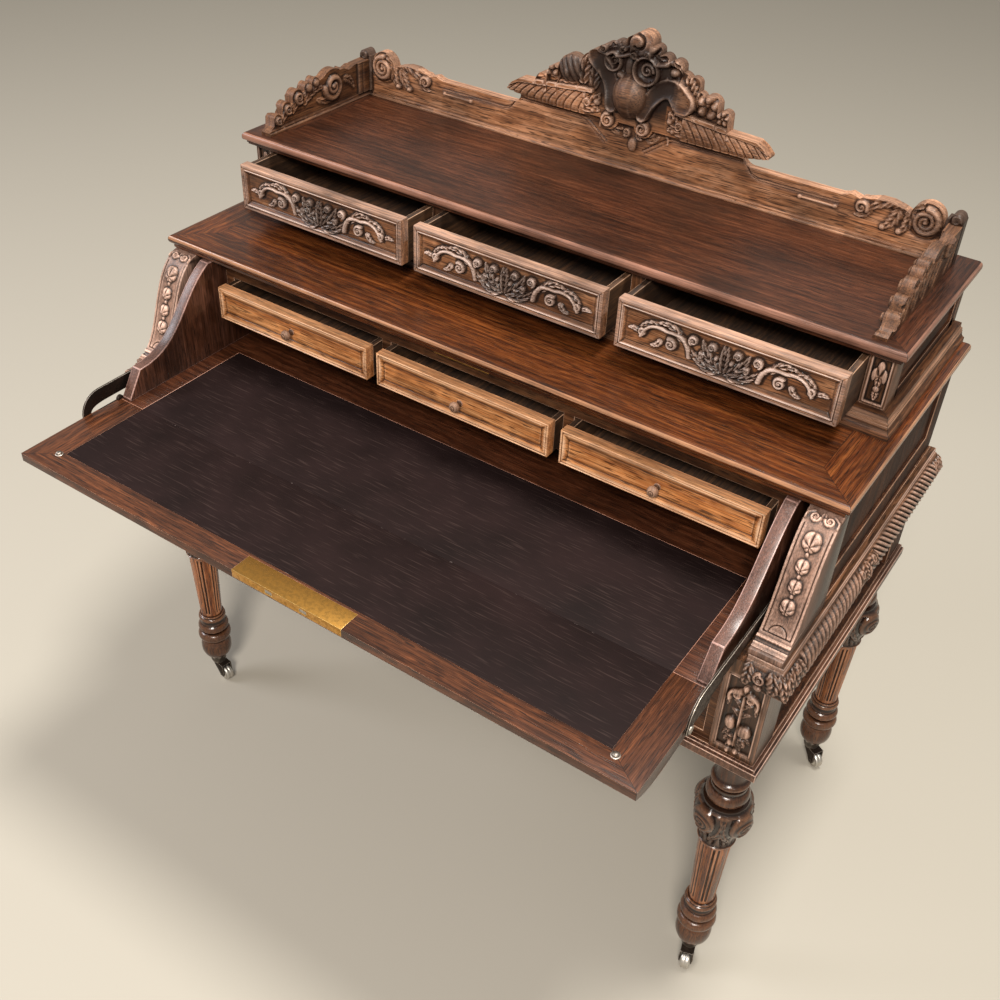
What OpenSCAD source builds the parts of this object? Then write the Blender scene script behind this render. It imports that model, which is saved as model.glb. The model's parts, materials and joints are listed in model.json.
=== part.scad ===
// Drop-front secretary on turned legs: a writing slide with a falling leaf,
// three inner drawers, three upper drawers, a frieze drawer and a carved gallery.
// The leaf is open, the slide is out, and the inner and upper drawers are ajar.

/* [Case] */
// Height of the writing surface above the floor
writing_h = 750; // [720:1:780]
// Width across the sides of the middle case
case_w = 1138; // [1060:1:1200]
// Depth of the case, from the corner posts to the back
case_d = 580; // [540:1:640]
// Height of the base, from its underside to the writing surface
base_h = 220; // [200:1:240]
// Height from the writing surface to the underside of the shelf
mid_h = 167; // [162:1:174]
// Thickness of the case sides
side_t = 22; // [18:1:26]
// Thickness of the back boards
back_t = 16; // [12:1:20]
// Width of a corner post, seen from the front
post_w = 67; // [60:1:74]
// Depth of a corner post
post_d = 66; // [60:1:74]
// How far the posts stand out from the case sides
post_proud = 3; // [2:0.5:5]
// Height of the moulding round the foot of the base
foot_h = 18; // [14:1:24]
// How far the foot moulding stands out from the posts
foot_out = 10; // [6:1:14]
// Height of the gadrooned band round the head of the base
band_h = 46; // [40:1:52]
// How far the gadrooned band stands out from the posts
band_out = 26; // [20:1:30]

/* [Legs and casters] */
// Height of a caster, from the floor to the foot of the turned leg
caster_h = 62; // [58:1:70]
// Largest radius of the shaft, below the carved cup
shaft_r1 = 25.7; // [23:0.1:28]
// Smallest radius of the shaft, above the rings
shaft_r0 = 20.3; // [18:0.1:22]
// Number of pairs of flutes round the shaft
flute_pairs = 6; // [4:1:8]
// Radius of a flute
flute_r = 1.8; // [1:0.1:2.4]
// Radius of a caster wheel
wheel_r = 16; // [14:0.5:18]
// Width of a caster wheel
wheel_w = 16; // [12:1:18]
// Distance from a caster's swivel to its axle
caster_trail = 19; // [14:1:22]
// Thickness of a caster's fork
fork_t = 2.4; // [2:0.1:3]
// Turn of each caster about its swivel: front left, front right, rear left, rear right
caster_turn = [82, 16, 110, 60];

/* [Writing slide and leaf] */
// Distance that the writing slide pulls out
slide_out = 103; // [90:1:110]
// How far the closed hinge line lies behind the front of the posts
hinge_set = 10; // [6:1:14]
// Length of the leaf, from the hinge line to its front edge
leaf_l = 187; // [184:1:195]
// Thickness of the leaf at the hinge line
leaf_t0 = 20; // [18:0.5:21]
// Thickness of the leaf at its front edge
leaf_t1 = 14; // [13:0.5:16]
// Gap at the seam between the leaf and the slide
seam_gap = 0.3; // [0.2:0.1:0.6]
// How far the tip of the closed leaf lies below the shelf
tip_drop = 12; // [10:0.5:14]
// Thickness of the slide board
bed_t = 22; // [20:1:22]
// Length of the slide board
bed_l = 473; // [430:1:480]
// Thickness of the cheeks that stand on the slide
cheek_t = 18; // [14:1:20]
// Width of the slot between a cheek and its bracket, where the stay runs
slot_w = 13; // [12:0.5:16]
// Gap between the end of the leaf and a bracket
leaf_clear = 7; // [6.5:0.5:8]
// Thickness of the writing leather
leather_t = 1.2; // [0.8:0.1:2]
// Width of the wooden border at the ends of the leather
border_x = 48; // [40:1:60]
// Width of the wooden border in front of the leather
border_front = 38; // [37:1:48]
// Length of leather behind the hinge line
leather_back = 213; // [190:1:230]
// Thickness of a stay
stay_t = 3; // [2:0.1:3.4]
// Height of a stay's bar
stay_h = 24; // [18:1:26]
// Radius of the pivot screw of a stay
stay_pin_r = 3; // [2:0.1:4]
// Radius of a hinge pin
hinge_pin_r = 2.5; // [1.5:0.1:3]
// Radial clearance of every pin in its bore
pin_clear = 0.05; // [0.03:0.01:0.1]

/* [Lock] */
// Width of the lock plate
lock_w = 190; // [160:1:200]
// Depth of the lock plate, from the front edge of the leaf
lock_d = 34; // [30:1:36]
// Thickness of the lock plate
lock_t = 2; // [1.5:0.1:2.5]
// Distance between the middles of the two bolts
bolt_gap = 60; // [40:1:80]
// Width of a bolt
bolt_w = 12; // [8:1:16]
// Travel of the bolts
bolt_travel = 14; // [12:0.5:15]

/* [Brackets and shelf] */
// Width of a carved bracket
bracket_w = 46; // [42:1:50]
// How far a bracket stands out from the case side
bracket_proud = 8; // [5:1:12]
// Thickness of the shelf
shelf_t = 22; // [18:1:26]
// How far the shelf reaches past the case sides
shelf_out = 14; // [10:1:20]
// How far the shelf reaches in front of the tip of the closed leaf
shelf_over = 15; // [13:1:20]

/* [Inner drawers] */
// How far the inner drawer housing stands behind the shelf's front edge
nest_set = 40; // [36:1:60]
// Height of the housing floor's underside above the writing surface
nest_rise = 62; // [56:1:66]
// Thickness of the housing floor
nest_floor_t = 9; // [8:1:12]
// Thickness of the housing ends
nest_end_t = 17; // [12:1:20]
// Thickness of the housing dividers
nest_div_t = 18; // [12:1:22]
// Height of an inner drawer
inner_h = 56; // [50:1:60]
// Length of an inner drawer behind its front
inner_l = 232; // [180:1:260]
// How far the inner drawers are pulled out
inner_out = 38; // [20:1:40]
// Radius of a knob
knob_r = 8.5; // [6:0.5:11]
// Length of a knob
knob_l = 20; // [14:1:20]

/* [Upper case] */
// How far the upper case stands behind the shelf's front edge
upper_set = 161; // [140:1:180]
// How far the upper case's plinth is set in from the shelf's sides
plinth_in = 14; // [8:1:20]
// Height of the plinth
plinth_h = 29; // [24:1:34]
// Height of the upper drawers' case
upper_h = 78; // [70:1:90]
// How far the upper case is set in from its plinth
upper_in = 20; // [14:1:26]
// Width of the carved end posts
end_w = 36; // [30:1:42]
// Thickness of the upper case's sides
upper_side_t = 18; // [12:1:22]
// Thickness of the upper dividers
upper_div_t = 22; // [16:1:26]
// Length of an upper drawer behind its front
upper_l = 250; // [180:1:255]
// How far the upper drawers are pulled out
upper_out = 78; // [40:1:90]
// Thickness of the cap
cap_t = 20; // [16:1:26]
// How far the cap reaches past the upper case
cap_out = 14; // [8:1:20]

/* [Drawers] */
// Thickness of a drawer's front
front_t = 17; // [14:1:20]
// Thickness of a drawer's sides
drawer_t = 9; // [7:1:12]
// Thickness of a drawer's bottom
drawer_floor_t = 5; // [4:1:7]
// Width of the mitred frame on a drawer's front
frame_w = 13; // [10:1:16]
// Depth of the field inside that frame
field_d = 3; // [2:0.5:5]
// Gap between a drawer and its housing
drawer_gap = 0.8; // [0.4:0.1:1.5]
// Length of the frieze drawer behind its front
frieze_l = 420; // [300:1:460]

/* [Gallery] */
// Height of the gallery's back board
gallery_h = 58; // [50:1:66]
// Thickness of the gallery boards
gallery_t = 16; // [12:1:20]
// How far the gallery is set in from the ends of the cap
gallery_in = 33; // [20:1:40]
// How far the back board is set in from the back of the cap
gallery_back_in = 28; // [20:1:34]
// Height of the crest above the back board
crest_h = 164; // [150:1:180]
// Thickness of the crest
crest_t = 28; // [22:1:34]

/* [Hidden] */
$fn = 48;

// Depths: the origin lies under the middle of the open desk
front_y = (slide_out + leaf_l - hinge_set - case_d) / 2;
back_y = front_y + case_d;
back_in_y = back_y - back_t;
hinge_in_y = front_y + hinge_set;
hinge_y = hinge_in_y - slide_out;
lean = asin((mid_h - tip_drop) / leaf_l);
lean_u = [cos(lean), sin(lean)];
lean_in = [sin(lean), -cos(lean)];
shelf_y = hinge_in_y + leaf_l * cos(lean) - shelf_over;
nest_y = shelf_y + nest_set;
plinth_y = shelf_y + upper_set;
upper_y = plinth_y + 22;
cap_y = plinth_y + 5;

// Heights
base_z = writing_h - base_h;
foot_z = base_z + foot_h;
band_z = writing_h - band_h;
bed_z = writing_h - bed_t;
slide_clear = 0.3;
runner_z = bed_z - slide_clear;
post_in_z = runner_z - 3.7;
shelf_z = writing_h + mid_h;
plinth_z = shelf_z + shelf_t;
upper_z = plinth_z + plinth_h;
cap_z = upper_z + upper_h;
gallery_z = cap_z + cap_t;

// Half widths
case_x = case_w / 2;
case_in_x = case_x - side_t;
post_x = case_x + post_proud;
post_in_x = post_x - post_w;
bracket_x = case_x + bracket_proud;
bracket_in_x = bracket_x - bracket_w;
bed_x = bracket_in_x - slot_w;
leaf_x = bracket_in_x - leaf_clear;
cheek_x = bed_x - cheek_t;
leather_x = bed_x - border_x;
nest_x = cheek_x - 0.6;
shelf_x = case_x + shelf_out;
plinth_x = shelf_x - plinth_in;
upper_x = plinth_x - upper_in;
upper_post_x = upper_x - end_w;
cap_x = upper_x + cap_out;
gallery_x = cap_x - gallery_in;

// Parts of the base
rail_t = 38;
field_in = 8;
leg_x = (post_x + post_in_x) / 2;
leg_y = front_y + post_d / 2;
leg_back_y = back_y - post_d / 2;
foot_top = 4;
tongue_w = 8;
tongue_h = 10;
tongue_y = hinge_y + slide_out + 110;

// Parts of the leaf, the slide and the lock
ear_r = 6;
hinge_plate_t = 2.8;
hinge_plate_gap = 0.2;
hinge_plate_l = 42;
stay_clear = 0.4;
stay_x = leaf_x + stay_clear;
stay_s = 63;
stay_drop = 8;
stay_bar_z = 10;
stay_eye_r = 9;
stay_neck = 7.5;
stay_l = 300;
head_t = 1.6;
bolt_h = 5.6;
bolt_drop = 4;
lock_case_h = 10;
lock_case_w = bolt_gap + bolt_w + 16;
lock_wall = 1.2;
strike_w = bolt_gap + bolt_w + 24;

// Parts of the drawers and the gallery
nest_z = writing_h + nest_rise;
inner_z = nest_z + nest_floor_t + drawer_gap;
inner_w = (2 * (nest_x - nest_end_t) - 2 * nest_div_t) / 3;
inner_pitch = inner_w + nest_div_t;
inner_y = nest_y - inner_out;
upper_w = (2 * upper_post_x - 2 * upper_div_t) / 3;
upper_pitch = upper_w + upper_div_t;
upper_front_y = upper_y + 2 - upper_out;
frieze_y = front_y + 6;
gallery_y = back_y - gallery_back_in - gallery_t;
crest_z = gallery_z + gallery_h + 18;

// Colours
oak = "#6b4226";
dark_oak = "#4a2b19";
light_oak = "#8a5a33";
honey_oak = "#9a6a3c";
hide = "#3a2726";
brass = "#a88a4a";
iron = "#4b4640";
bright_iron = "#9a948a";

// Points of a cubic curve from a to d
function curve(a, b, c, d, n = 14) =
    [for (i = [0:n]) let (t = i / n, s = 1 - t)
        s * s * s * a + 3 * s * s * t * b + 3 * s * t * t * c + t * t * t * d];

// Points of a round moulding about the middle [r, z]
function bead(r, z, size, from = 90, to = -90, n = 8) =
    [for (i = [0:n]) let (a = from + (to - from) * i / n) [r + size * cos(a), z + size * sin(a)]];

// A point of the closed leaf's plane, at rest height of the hinge at y
function on_lean(y, s, inward = 0) = [y, writing_h] + s * lean_u + inward * lean_in;

module block(x0, x1, y0, y1, z0, z1) {
    translate([x0, y0, z0]) cube([x1 - x0, y1 - y0, z1 - z0]);
}

// An outline of depth and height, drawn out along the width
module along_x(x0, x1) {
    translate([x0, 0, 0]) rotate([90, 0, 90]) linear_extrude(x1 - x0) children();
}

// An outline of width and height, drawn out along the depth
module along_y(y0, y1) {
    translate([0, y1, 0]) rotate([90, 0, 0]) linear_extrude(y1 - y0) children();
}

module left() {
    mirror([1, 0, 0]) children();
}

module both() {
    children();
    mirror([1, 0, 0]) children();
}

// Turned leg

cup_z = base_z - 104;
shaft_z1 = base_z - 197;
shaft_z0 = caster_h + 122;
shaft_tilt = atan((shaft_r1 - shaft_r0) / (shaft_z1 - shaft_z0));

leg_outline = concat(
    [[0, base_z], [31, base_z], [31, base_z - 8], [25, base_z - 12], [22.5, base_z - 24],
     [22.5, base_z - 40], [25, base_z - 52]],
    bead(25, base_z - 60, 5),
    [[24, base_z - 68], [27, base_z - 69], [27, base_z - 75]],
    bead(21, base_z - 88, 12),
    [[25, base_z - 102], [34, cup_z - 1]],
    curve([36, cup_z - 8], [39, cup_z - 30], [29, cup_z - 60], [27, shaft_z1 + 3], 6),
    [[29, shaft_z1 + 2], [29, shaft_z1], [shaft_r1, shaft_z1], [shaft_r0, shaft_z0]],
    bead(21.5, caster_h + 117.5, 3.5),
    curve([24, caster_h + 112], [28, caster_h + 110], [32, caster_h + 98], [31, caster_h + 86], 6),
    [[27, caster_h + 82], [27, caster_h + 78]],
    bead(26, caster_h + 74, 3.5, 80, -80, 6),
    [[26.5, caster_h + 68], [26.5, caster_h + 65]],
    bead(29.5, caster_h + 61, 3.2, 80, -80, 6),
    curve([30, caster_h + 56], [38, caster_h + 42], [32, caster_h + 8], [18, caster_h + 2], 8),
    [[18, caster_h], [0, caster_h]]);

module leg() {
    difference() {
        rotate_extrude() polygon(leg_outline);
        for (i = [0:flute_pairs - 1], k = [-1, 1])
            rotate([0, 0, i * 360 / flute_pairs + k * 9])
                translate([shaft_r0 + 0.6, 0, shaft_z0 + 8])
                    rotate([0, shaft_tilt, 0])
                        cylinder(r = flute_r, h = shaft_z1 - shaft_z0 - 16);
    }
    for (a = [45:90:315])
        rotate([0, 0, a]) translate([35, 0, cup_z - 12]) rotate([90, 0, 0])
            cylinder(r = 9, h = 22, center = true);
}

// The upper end of a post is cut down on the inside, where the slide runs over it
module post(y0) {
    block(post_in_x, post_x, y0, y0 + post_d, base_z, post_in_z);
    block(bracket_in_x + 0.5, post_x, y0, y0 + post_d, post_in_z, writing_h);
}

module front_leg() {
    difference() {
        post(front_y);
        block(post_in_x + field_in, post_x - field_in, front_y - 1, front_y + 3,
            foot_z + field_in, band_z - field_in);
    }
    // Palmette, two fruits and a drop of leaves on the post's face
    translate([leg_x, front_y + 3, foot_z + 40]) {
        translate([-11, 0, 40]) sphere(r = 9);
        translate([10, 0, 34]) sphere(r = 12);
        translate([0, 0, 6]) sphere(r = 9);
        for (a = [-50:50:50])
            translate([20 * sin(a), 0, 78 + 14 * cos(a)]) sphere(r = 6);
    }
    translate([leg_x, leg_y, 0]) leg();
}

module rear_leg() {
    post(back_y - post_d);
    translate([leg_x, leg_back_y, 0]) leg();
}

module leg_front_left() {
    color(oak) left() front_leg();
}

module leg_front_right() {
    color(oak) front_leg();
}

module leg_rear_left() {
    color(oak) left() rear_leg();
}

module leg_rear_right() {
    color(oak) rear_leg();
}

// Casters

socket_h = 22;
socket_z = caster_h - socket_h;
stem_r = 4;
axle_r = 2.5;
fork_top_z = socket_z - 0.3;
fork_in = wheel_w / 2 + 0.6;
caster_places = [[-leg_x, leg_y], [leg_x, leg_y], [-leg_x, leg_back_y], [leg_x, leg_back_y]];

module at_caster(i) {
    translate([caster_places[i].x, caster_places[i].y, 0]) rotate([0, 0, caster_turn[i]]) children();
}

module caster_sockets() {
    color(iron) for (i = [0:3])
        translate([caster_places[i].x, caster_places[i].y, 0]) difference() {
            translate([0, 0, socket_z]) cylinder(r1 = 14, r2 = 18, h = socket_h);
            translate([0, 0, socket_z - 1]) cylinder(r = stem_r + pin_clear, h = socket_h - 3);
        }
}

module caster_fork(i) {
    color(iron) at_caster(i) {
        difference() {
            union() {
                translate([0, 0, fork_top_z - fork_t]) cylinder(r = 12, h = fork_t);
                translate([0, 0, fork_top_z - fork_t]) cylinder(r = stem_r, h = fork_t + socket_h - 4);
                block(-fork_in - fork_t, fork_in + fork_t, -caster_trail - 5, 8,
                    fork_top_z - fork_t, fork_top_z);
                for (k = [-1, 1]) translate([k * (fork_in + fork_t / 2), 0, 0])
                    along_x(-fork_t / 2, fork_t / 2) polygon([
                        [8, fork_top_z], [-caster_trail - 5, fork_top_z],
                        [-caster_trail - 7, wheel_r], [-caster_trail - 4, wheel_r - 6],
                        [-caster_trail + 4, wheel_r - 6], [-caster_trail + 7, wheel_r]]);
            }
            translate([0, -caster_trail, wheel_r]) rotate([0, 90, 0])
                cylinder(r = axle_r, h = 60, center = true);
        }
        // Riveted axle
        translate([0, -caster_trail, wheel_r]) rotate([0, 90, 0])
            cylinder(r = axle_r, h = 2 * (fork_in + fork_t) + 2, center = true);
    }
}

module caster_wheel(i) {
    color(bright_iron) at_caster(i)
        translate([0, -caster_trail, wheel_r]) rotate([0, 90, 0]) difference() {
            cylinder(r = wheel_r, h = wheel_w, center = true);
            cylinder(r = axle_r + pin_clear, h = wheel_w + 2, center = true);
        }
}

module caster_fork_front_left() {
    caster_fork(0);
}

module caster_fork_front_right() {
    caster_fork(1);
}

module caster_fork_rear_left() {
    caster_fork(2);
}

module caster_fork_rear_right() {
    caster_fork(3);
}

module caster_wheel_front_left() {
    caster_wheel(0);
}

module caster_wheel_front_right() {
    caster_wheel(1);
}

module caster_wheel_rear_left() {
    caster_wheel(2);
}

module caster_wheel_rear_right() {
    caster_wheel(3);
}

// Base

module base_side() {
    along_y(front_y + post_d, back_y - post_d) polygon([
        [case_in_x, base_z], [post_x, base_z], [post_x, foot_z], [post_x - field_in, foot_z + 4],
        [post_x - field_in, band_z - 4], [post_x, band_z], [post_x, writing_h],
        [case_in_x, writing_h]]);
}

module base_sides() {
    color(oak) both() base_side();
}

module base_bottom() {
    color(oak) {
        block(-post_in_x, post_in_x, front_y + rail_t, back_in_y, foot_z - 12, foot_z);
        both() block(post_in_x, case_in_x, front_y + post_d, back_y - post_d, foot_z - 12, foot_z);
    }
}

module front_rails() {
    color(oak) {
        block(-post_in_x, post_in_x, frieze_y, front_y + post_d, band_z, runner_z);
        block(-post_in_x, post_in_x, front_y, front_y + rail_t, base_z, foot_z);
    }
}

// Moulding round three sides of the foot of the base, mitred at the corners
module foot_moulding() {
    color(light_oak) difference() {
        union() {
            block(-post_x - foot_out, post_x + foot_out, front_y - foot_out, back_y,
                base_z, foot_z - foot_top);
            block(-post_x - foot_out + 4, post_x + foot_out - 4, front_y - foot_out + 4, back_y,
                base_z, foot_z);
        }
        block(-post_x, post_x, front_y, back_y + 1, base_z - 1, foot_z + 1);
    }
}

// Section of the gadrooned band, measured from the posts' face and the band's foot
band_outline = concat(
    [[0, 0], [6, 0], [6, 7], [9, 9]],
    curve([band_out - 3, 12], [band_out + 2, 14], [band_out + 1, 34], [12, band_h - 7], 8),
    [[9, band_h - 7], [9, band_h], [0, band_h]]);

module band_outline_2d() {
    polygon(band_outline);
}

module gadroon_band() {
    // Along the side, cut on the mitre at the front corner
    intersection() {
        along_y(front_y - band_out - 1, back_y) translate([post_x, band_z]) band_outline_2d();
        translate([0, 0, band_z - 1]) linear_extrude(band_h + 2) polygon([
            [post_x, front_y], [post_x + band_out + 2, front_y - band_out - 2],
            [post_x + band_out + 2, back_y], [post_x, back_y]]);
    }
    // Across the front of the post
    intersection() {
        along_x(bracket_in_x + 0.5, post_x + band_out + 1) mirror([1, 0]) translate([-front_y, band_z])
            band_outline_2d();
        translate([0, 0, band_z - 1]) linear_extrude(band_h + 2) polygon([
            [post_x, front_y], [post_x + band_out + 2, front_y - band_out - 2],
            [bracket_in_x, front_y - band_out - 2], [bracket_in_x, front_y]]);
    }
}

module gadroon_bands() {
    color(dark_oak) both() gadroon_band();
}

// Runners with a groove that takes the slide's tongues
module slide_runners() {
    color(oak) both() along_y(front_y + post_d, back_y - post_d) polygon([
        [bed_x - 28, band_z], [case_in_x, band_z], [case_in_x, writing_h],
        [bed_x + 1, writing_h], [bed_x + 1, runner_z + tongue_h + 2 * slide_clear],
        [bed_x + tongue_w + 1, runner_z + tongue_h + 2 * slide_clear],
        [bed_x + tongue_w + 1, runner_z], [bed_x - 28, runner_z]]);
}

module back_panel() {
    color(oak) difference() {
        along_y(back_in_y, back_y) polygon([
            [-post_in_x, base_z], [post_in_x, base_z], [post_in_x, post_in_z],
            [bracket_in_x + 0.5, post_in_z], [bracket_in_x + 0.5, writing_h],
            [case_in_x, writing_h], [case_in_x, shelf_z], [-case_in_x, shelf_z],
            [-case_in_x, writing_h], [-bracket_in_x - 0.5, writing_h],
            [-bracket_in_x - 0.5, post_in_z], [-post_in_x, post_in_z]]);
        for (i = [-1:1])
            translate([i * 330, 0, 0]) {
                block(-135, 135, back_y - 5, back_y + 1, base_z + 45, bed_z - 20);
                block(-135, 135, back_y - 5, back_y + 1, writing_h + 20, shelf_z - 35);
            }
    }
}

// Middle case

mid_side_y = shelf_y + 28;

module mid_side() {
    difference() {
        block(case_in_x, case_x, mid_side_y, back_y, writing_h, shelf_z);
        block(case_x - 5, case_x + 1, mid_side_y + 24, back_y - 45, writing_h + 40, shelf_z - 22);
    }
}

module mid_sides() {
    color(oak) both() mid_side();
}

// Front of the bracket: an S from under the shelf down to its plinth
bracket_top_y = shelf_y + 9;
bracket_foot_y = front_y - 1;
bracket_outline = concat(
    curve([bracket_top_y, shelf_z - 1], [bracket_top_y - 62, shelf_z - 15],
        [bracket_foot_y + 51, writing_h + 25], [bracket_foot_y, writing_h + 8]),
    [[bracket_foot_y - 6, writing_h + 8], [bracket_foot_y - 6, writing_h],
     [mid_side_y, writing_h], [mid_side_y, shelf_z], [bracket_top_y, shelf_z]]);

module bracket() {
    along_x(bracket_in_x, bracket_x) polygon(bracket_outline);
    // Drop of four husks down the face, the top one the largest
    for (i = [0:3])
        let (p = bracket_outline[4 + 2 * i], x = (bracket_in_x + bracket_x) / 2)
            translate([x, p.x + 3, p.y]) sphere(r = i == 0 ? 10 : 8);
    // Pair of volutes under the shelf
    for (k = [-1, 1])
        translate([(bracket_in_x + bracket_x) / 2 + k * 11, bracket_top_y - 13, shelf_z - 14])
            rotate([60, 0, 0]) cylinder(r = 7, h = 9, center = true);
}

module bracket_left() {
    color(oak) left() bracket();
}

module bracket_right() {
    color(oak) bracket();
}

// Floor, ends, dividers and head rail of the inner drawers' housing, hung from the shelf
module drawer_nest() {
    color(oak) {
        block(-nest_x, nest_x, nest_y, back_in_y, nest_z, nest_z + nest_floor_t);
        both() block(nest_x - nest_end_t, nest_x, nest_y, back_in_y, nest_z + nest_floor_t, shelf_z);
        both() block(inner_w / 2, inner_w / 2 + nest_div_t, nest_y, back_in_y,
            nest_z + nest_floor_t, shelf_z);
        for (i = [-1:1]) translate([i * inner_pitch, 0, 0])
            block(-inner_w / 2, inner_w / 2, nest_y, nest_y + 18,
                inner_z + inner_h + drawer_gap, shelf_z);
    }
}

// Place of the two bolts when the leaf is shut and locked
strike_p = on_lean(hinge_in_y, leaf_l + bolt_travel, -bolt_drop - bolt_h / 2);
strike_y0 = strike_p.x - 11;
strike_y1 = strike_p.x + 9;

module bolt_holes(z0, z1) {
    for (k = [-1, 1]) translate([k * bolt_gap / 2, 0, 0])
        block(-bolt_w / 2 - 1, bolt_w / 2 + 1, strike_y0 + 3, strike_y1 - 2, z0, z1);
}

module shelf() {
    color(oak) difference() {
        union() {
            block(-shelf_x, shelf_x, shelf_y, back_y, shelf_z + 8, plinth_z);
            block(-shelf_x + 6, shelf_x - 6, shelf_y + 3, back_y, shelf_z, shelf_z + 8);
        }
        block(-strike_w / 2, strike_w / 2, strike_y0, strike_y1, shelf_z - 1, shelf_z + lock_t);
        bolt_holes(shelf_z, shelf_z + 10);
    }
}

module strike_plate() {
    color(brass) difference() {
        block(-strike_w / 2, strike_w / 2, strike_y0, strike_y1, shelf_z, shelf_z + lock_t);
        bolt_holes(shelf_z - 1, shelf_z + lock_t + 1);
    }
}

// Upper case

module upper_plinth() {
    color(oak) difference() {
        union() {
            block(-plinth_x, plinth_x, plinth_y, back_y, plinth_z, upper_z - 10);
            block(-plinth_x + 6, plinth_x - 6, plinth_y + 6, back_y, upper_z - 10, upper_z);
        }
        block(-plinth_x + 40, plinth_x - 40, plinth_y + 40, back_y - 20, plinth_z - 1, upper_z - 8);
    }
}

module upper_end() {
    difference() {
        union() {
            block(upper_post_x, upper_x, upper_y, upper_y + end_w, upper_z, cap_z);
            block(upper_x - upper_side_t, upper_x, upper_y + end_w, back_in_y, upper_z, cap_z);
        }
        block(upper_x - 4, upper_x + 1, upper_y + end_w + 6, back_in_y - 20, upper_z + 14, cap_z - 12);
        block(upper_post_x + 6, upper_x - 6, upper_y - 1, upper_y + 3, upper_z + 6, cap_z - 6);
    }
    // Drop of three leaves on the post's face
    for (i = [0:2])
        translate([(upper_post_x + upper_x) / 2, upper_y + 3, cap_z - 20 - 19 * i]) sphere(r = 8 - i);
}

module upper_ends() {
    color(oak) both() upper_end();
}

module upper_dividers() {
    color(oak) both()
        block(upper_w / 2, upper_w / 2 + upper_div_t, upper_y + 2, back_in_y, upper_z, cap_z);
}

module upper_back() {
    color(oak) block(-upper_x, upper_x, back_in_y, back_y, upper_z, cap_z);
}

module cap() {
    color(oak) {
        block(-cap_x + 5, cap_x - 5, cap_y + 5, back_y, cap_z, cap_z + 7);
        block(-cap_x, cap_x, cap_y, back_y, cap_z + 7, gallery_z);
    }
}

// Gallery

// Upper edge of the back board, from the step under the crest to the corner scroll
gallery_top_z = gallery_z + gallery_h;
crest_step_x = 196;
gallery_edge = [
    [crest_step_x, crest_z], [crest_step_x, gallery_top_z], [gallery_x - 176, gallery_top_z],
    [gallery_x - 162, gallery_top_z + 4], [gallery_x - 148, gallery_top_z + 1],
    [gallery_x - 120, gallery_top_z + 8], [gallery_x - 85, gallery_top_z + 5],
    [gallery_x - 60, gallery_top_z - 2], [gallery_x - 40, gallery_top_z + 10],
    [gallery_x, gallery_top_z + 10], [gallery_x, gallery_z]];

module gallery_back() {
    color(oak) {
        along_y(gallery_y, gallery_y + gallery_t) polygon(concat(gallery_edge,
            [for (i = [len(gallery_edge) - 1:-1:0]) [-gallery_edge[i].x, gallery_edge[i].y]]));
        both() along_y(gallery_y, gallery_y + gallery_t)
            translate([gallery_x - 50, gallery_top_z - 2]) circle(r = 24);
        both() along_y(gallery_y, gallery_y + gallery_t)
            translate([gallery_x - 10, gallery_top_z + 9.5]) circle(r = 9);
    }
}

// Scalloped side board, its scrolls falling towards the front
gallery_side_y = cap_y + 13;
gallery_side_l = gallery_y - gallery_side_y;
module gallery_side() {
    along_x(gallery_x - gallery_t, gallery_x) union() {
        polygon([
            [gallery_side_y, gallery_z], [gallery_side_y, gallery_z + 14],
            [gallery_side_y + 10, gallery_z + 32], [gallery_side_y + 40, gallery_z + 48],
            [gallery_side_y + 55, gallery_z + 46], [gallery_side_y + 75, gallery_z + 60],
            [gallery_side_y + 105, gallery_z + 62], [gallery_side_y + 118, gallery_z + 70],
            [gallery_side_y + 142, gallery_z + 64], [gallery_side_y + 170, gallery_z + 68],
            [gallery_y - 58, gallery_z + 74], [gallery_y, gallery_z + 60], [gallery_y, gallery_z]]);
        translate([gallery_side_y + 17, gallery_z + 18]) circle(r = 15);
        translate([gallery_side_y + 0.78 * gallery_side_l, gallery_z + 56]) circle(r = 22);
    }
}

module gallery_sides() {
    color(oak) both() gallery_side();
}

// Crest: two gadrooned slopes, roses and scrolls round an oval boss
crest_y = gallery_y - (crest_t - gallery_t);
module crest() {
    color(dark_oak) difference() {
        union() {
            along_y(crest_y, gallery_y + gallery_t) union() {
                polygon([
                    [-190, crest_z], [-228, crest_z + 9], [-214, crest_z + 25], [-80, crest_z + 32],
                    [80, crest_z + 32], [214, crest_z + 25], [228, crest_z + 9], [190, crest_z]]);
                translate([2, crest_z + 46]) circle(r = 58);
                translate([10, crest_z + crest_h - 18 - 33]) circle(r = 33);
                translate([-84, crest_z + 62]) circle(r = 38);
                translate([112, crest_z + 52]) circle(r = 42);
                translate([-58, crest_z + 92]) circle(r = 16);
                translate([78, crest_z + 88]) circle(r = 16);
                for (k = [-1, 1]) translate([4 + k * 30, crest_z + 2]) circle(r = 16);
            }
            // Boss and the two volutes beside it
            translate([4, crest_y + 2, crest_z + 38]) sphere(r = 27);
            for (k = [-1, 1])
                translate([4 + k * 44, crest_y, crest_z + 58])
                    rotate([90, 0, 0]) cylinder(r = 16, h = 12, center = true);
        }
        // Rebate over the raised middle of the back board
        block(-crest_step_x, crest_step_x, gallery_y, gallery_y + gallery_t + 1,
            crest_z - 30, crest_z);
    }
}

// Writing slide

module slide_board() {
    color(oak) difference() {
        union() {
            block(-bed_x, bed_x, hinge_y, hinge_y + bed_l, bed_z, writing_h);
            both() block(bed_x - 1, bed_x + tongue_w, tongue_y, hinge_y + bed_l,
                bed_z, bed_z + tongue_h);
        }
        block(-leather_x, leather_x, hinge_y - 1, hinge_y + leather_back,
            writing_h - leather_t, writing_h + 1);
    }
}

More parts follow.
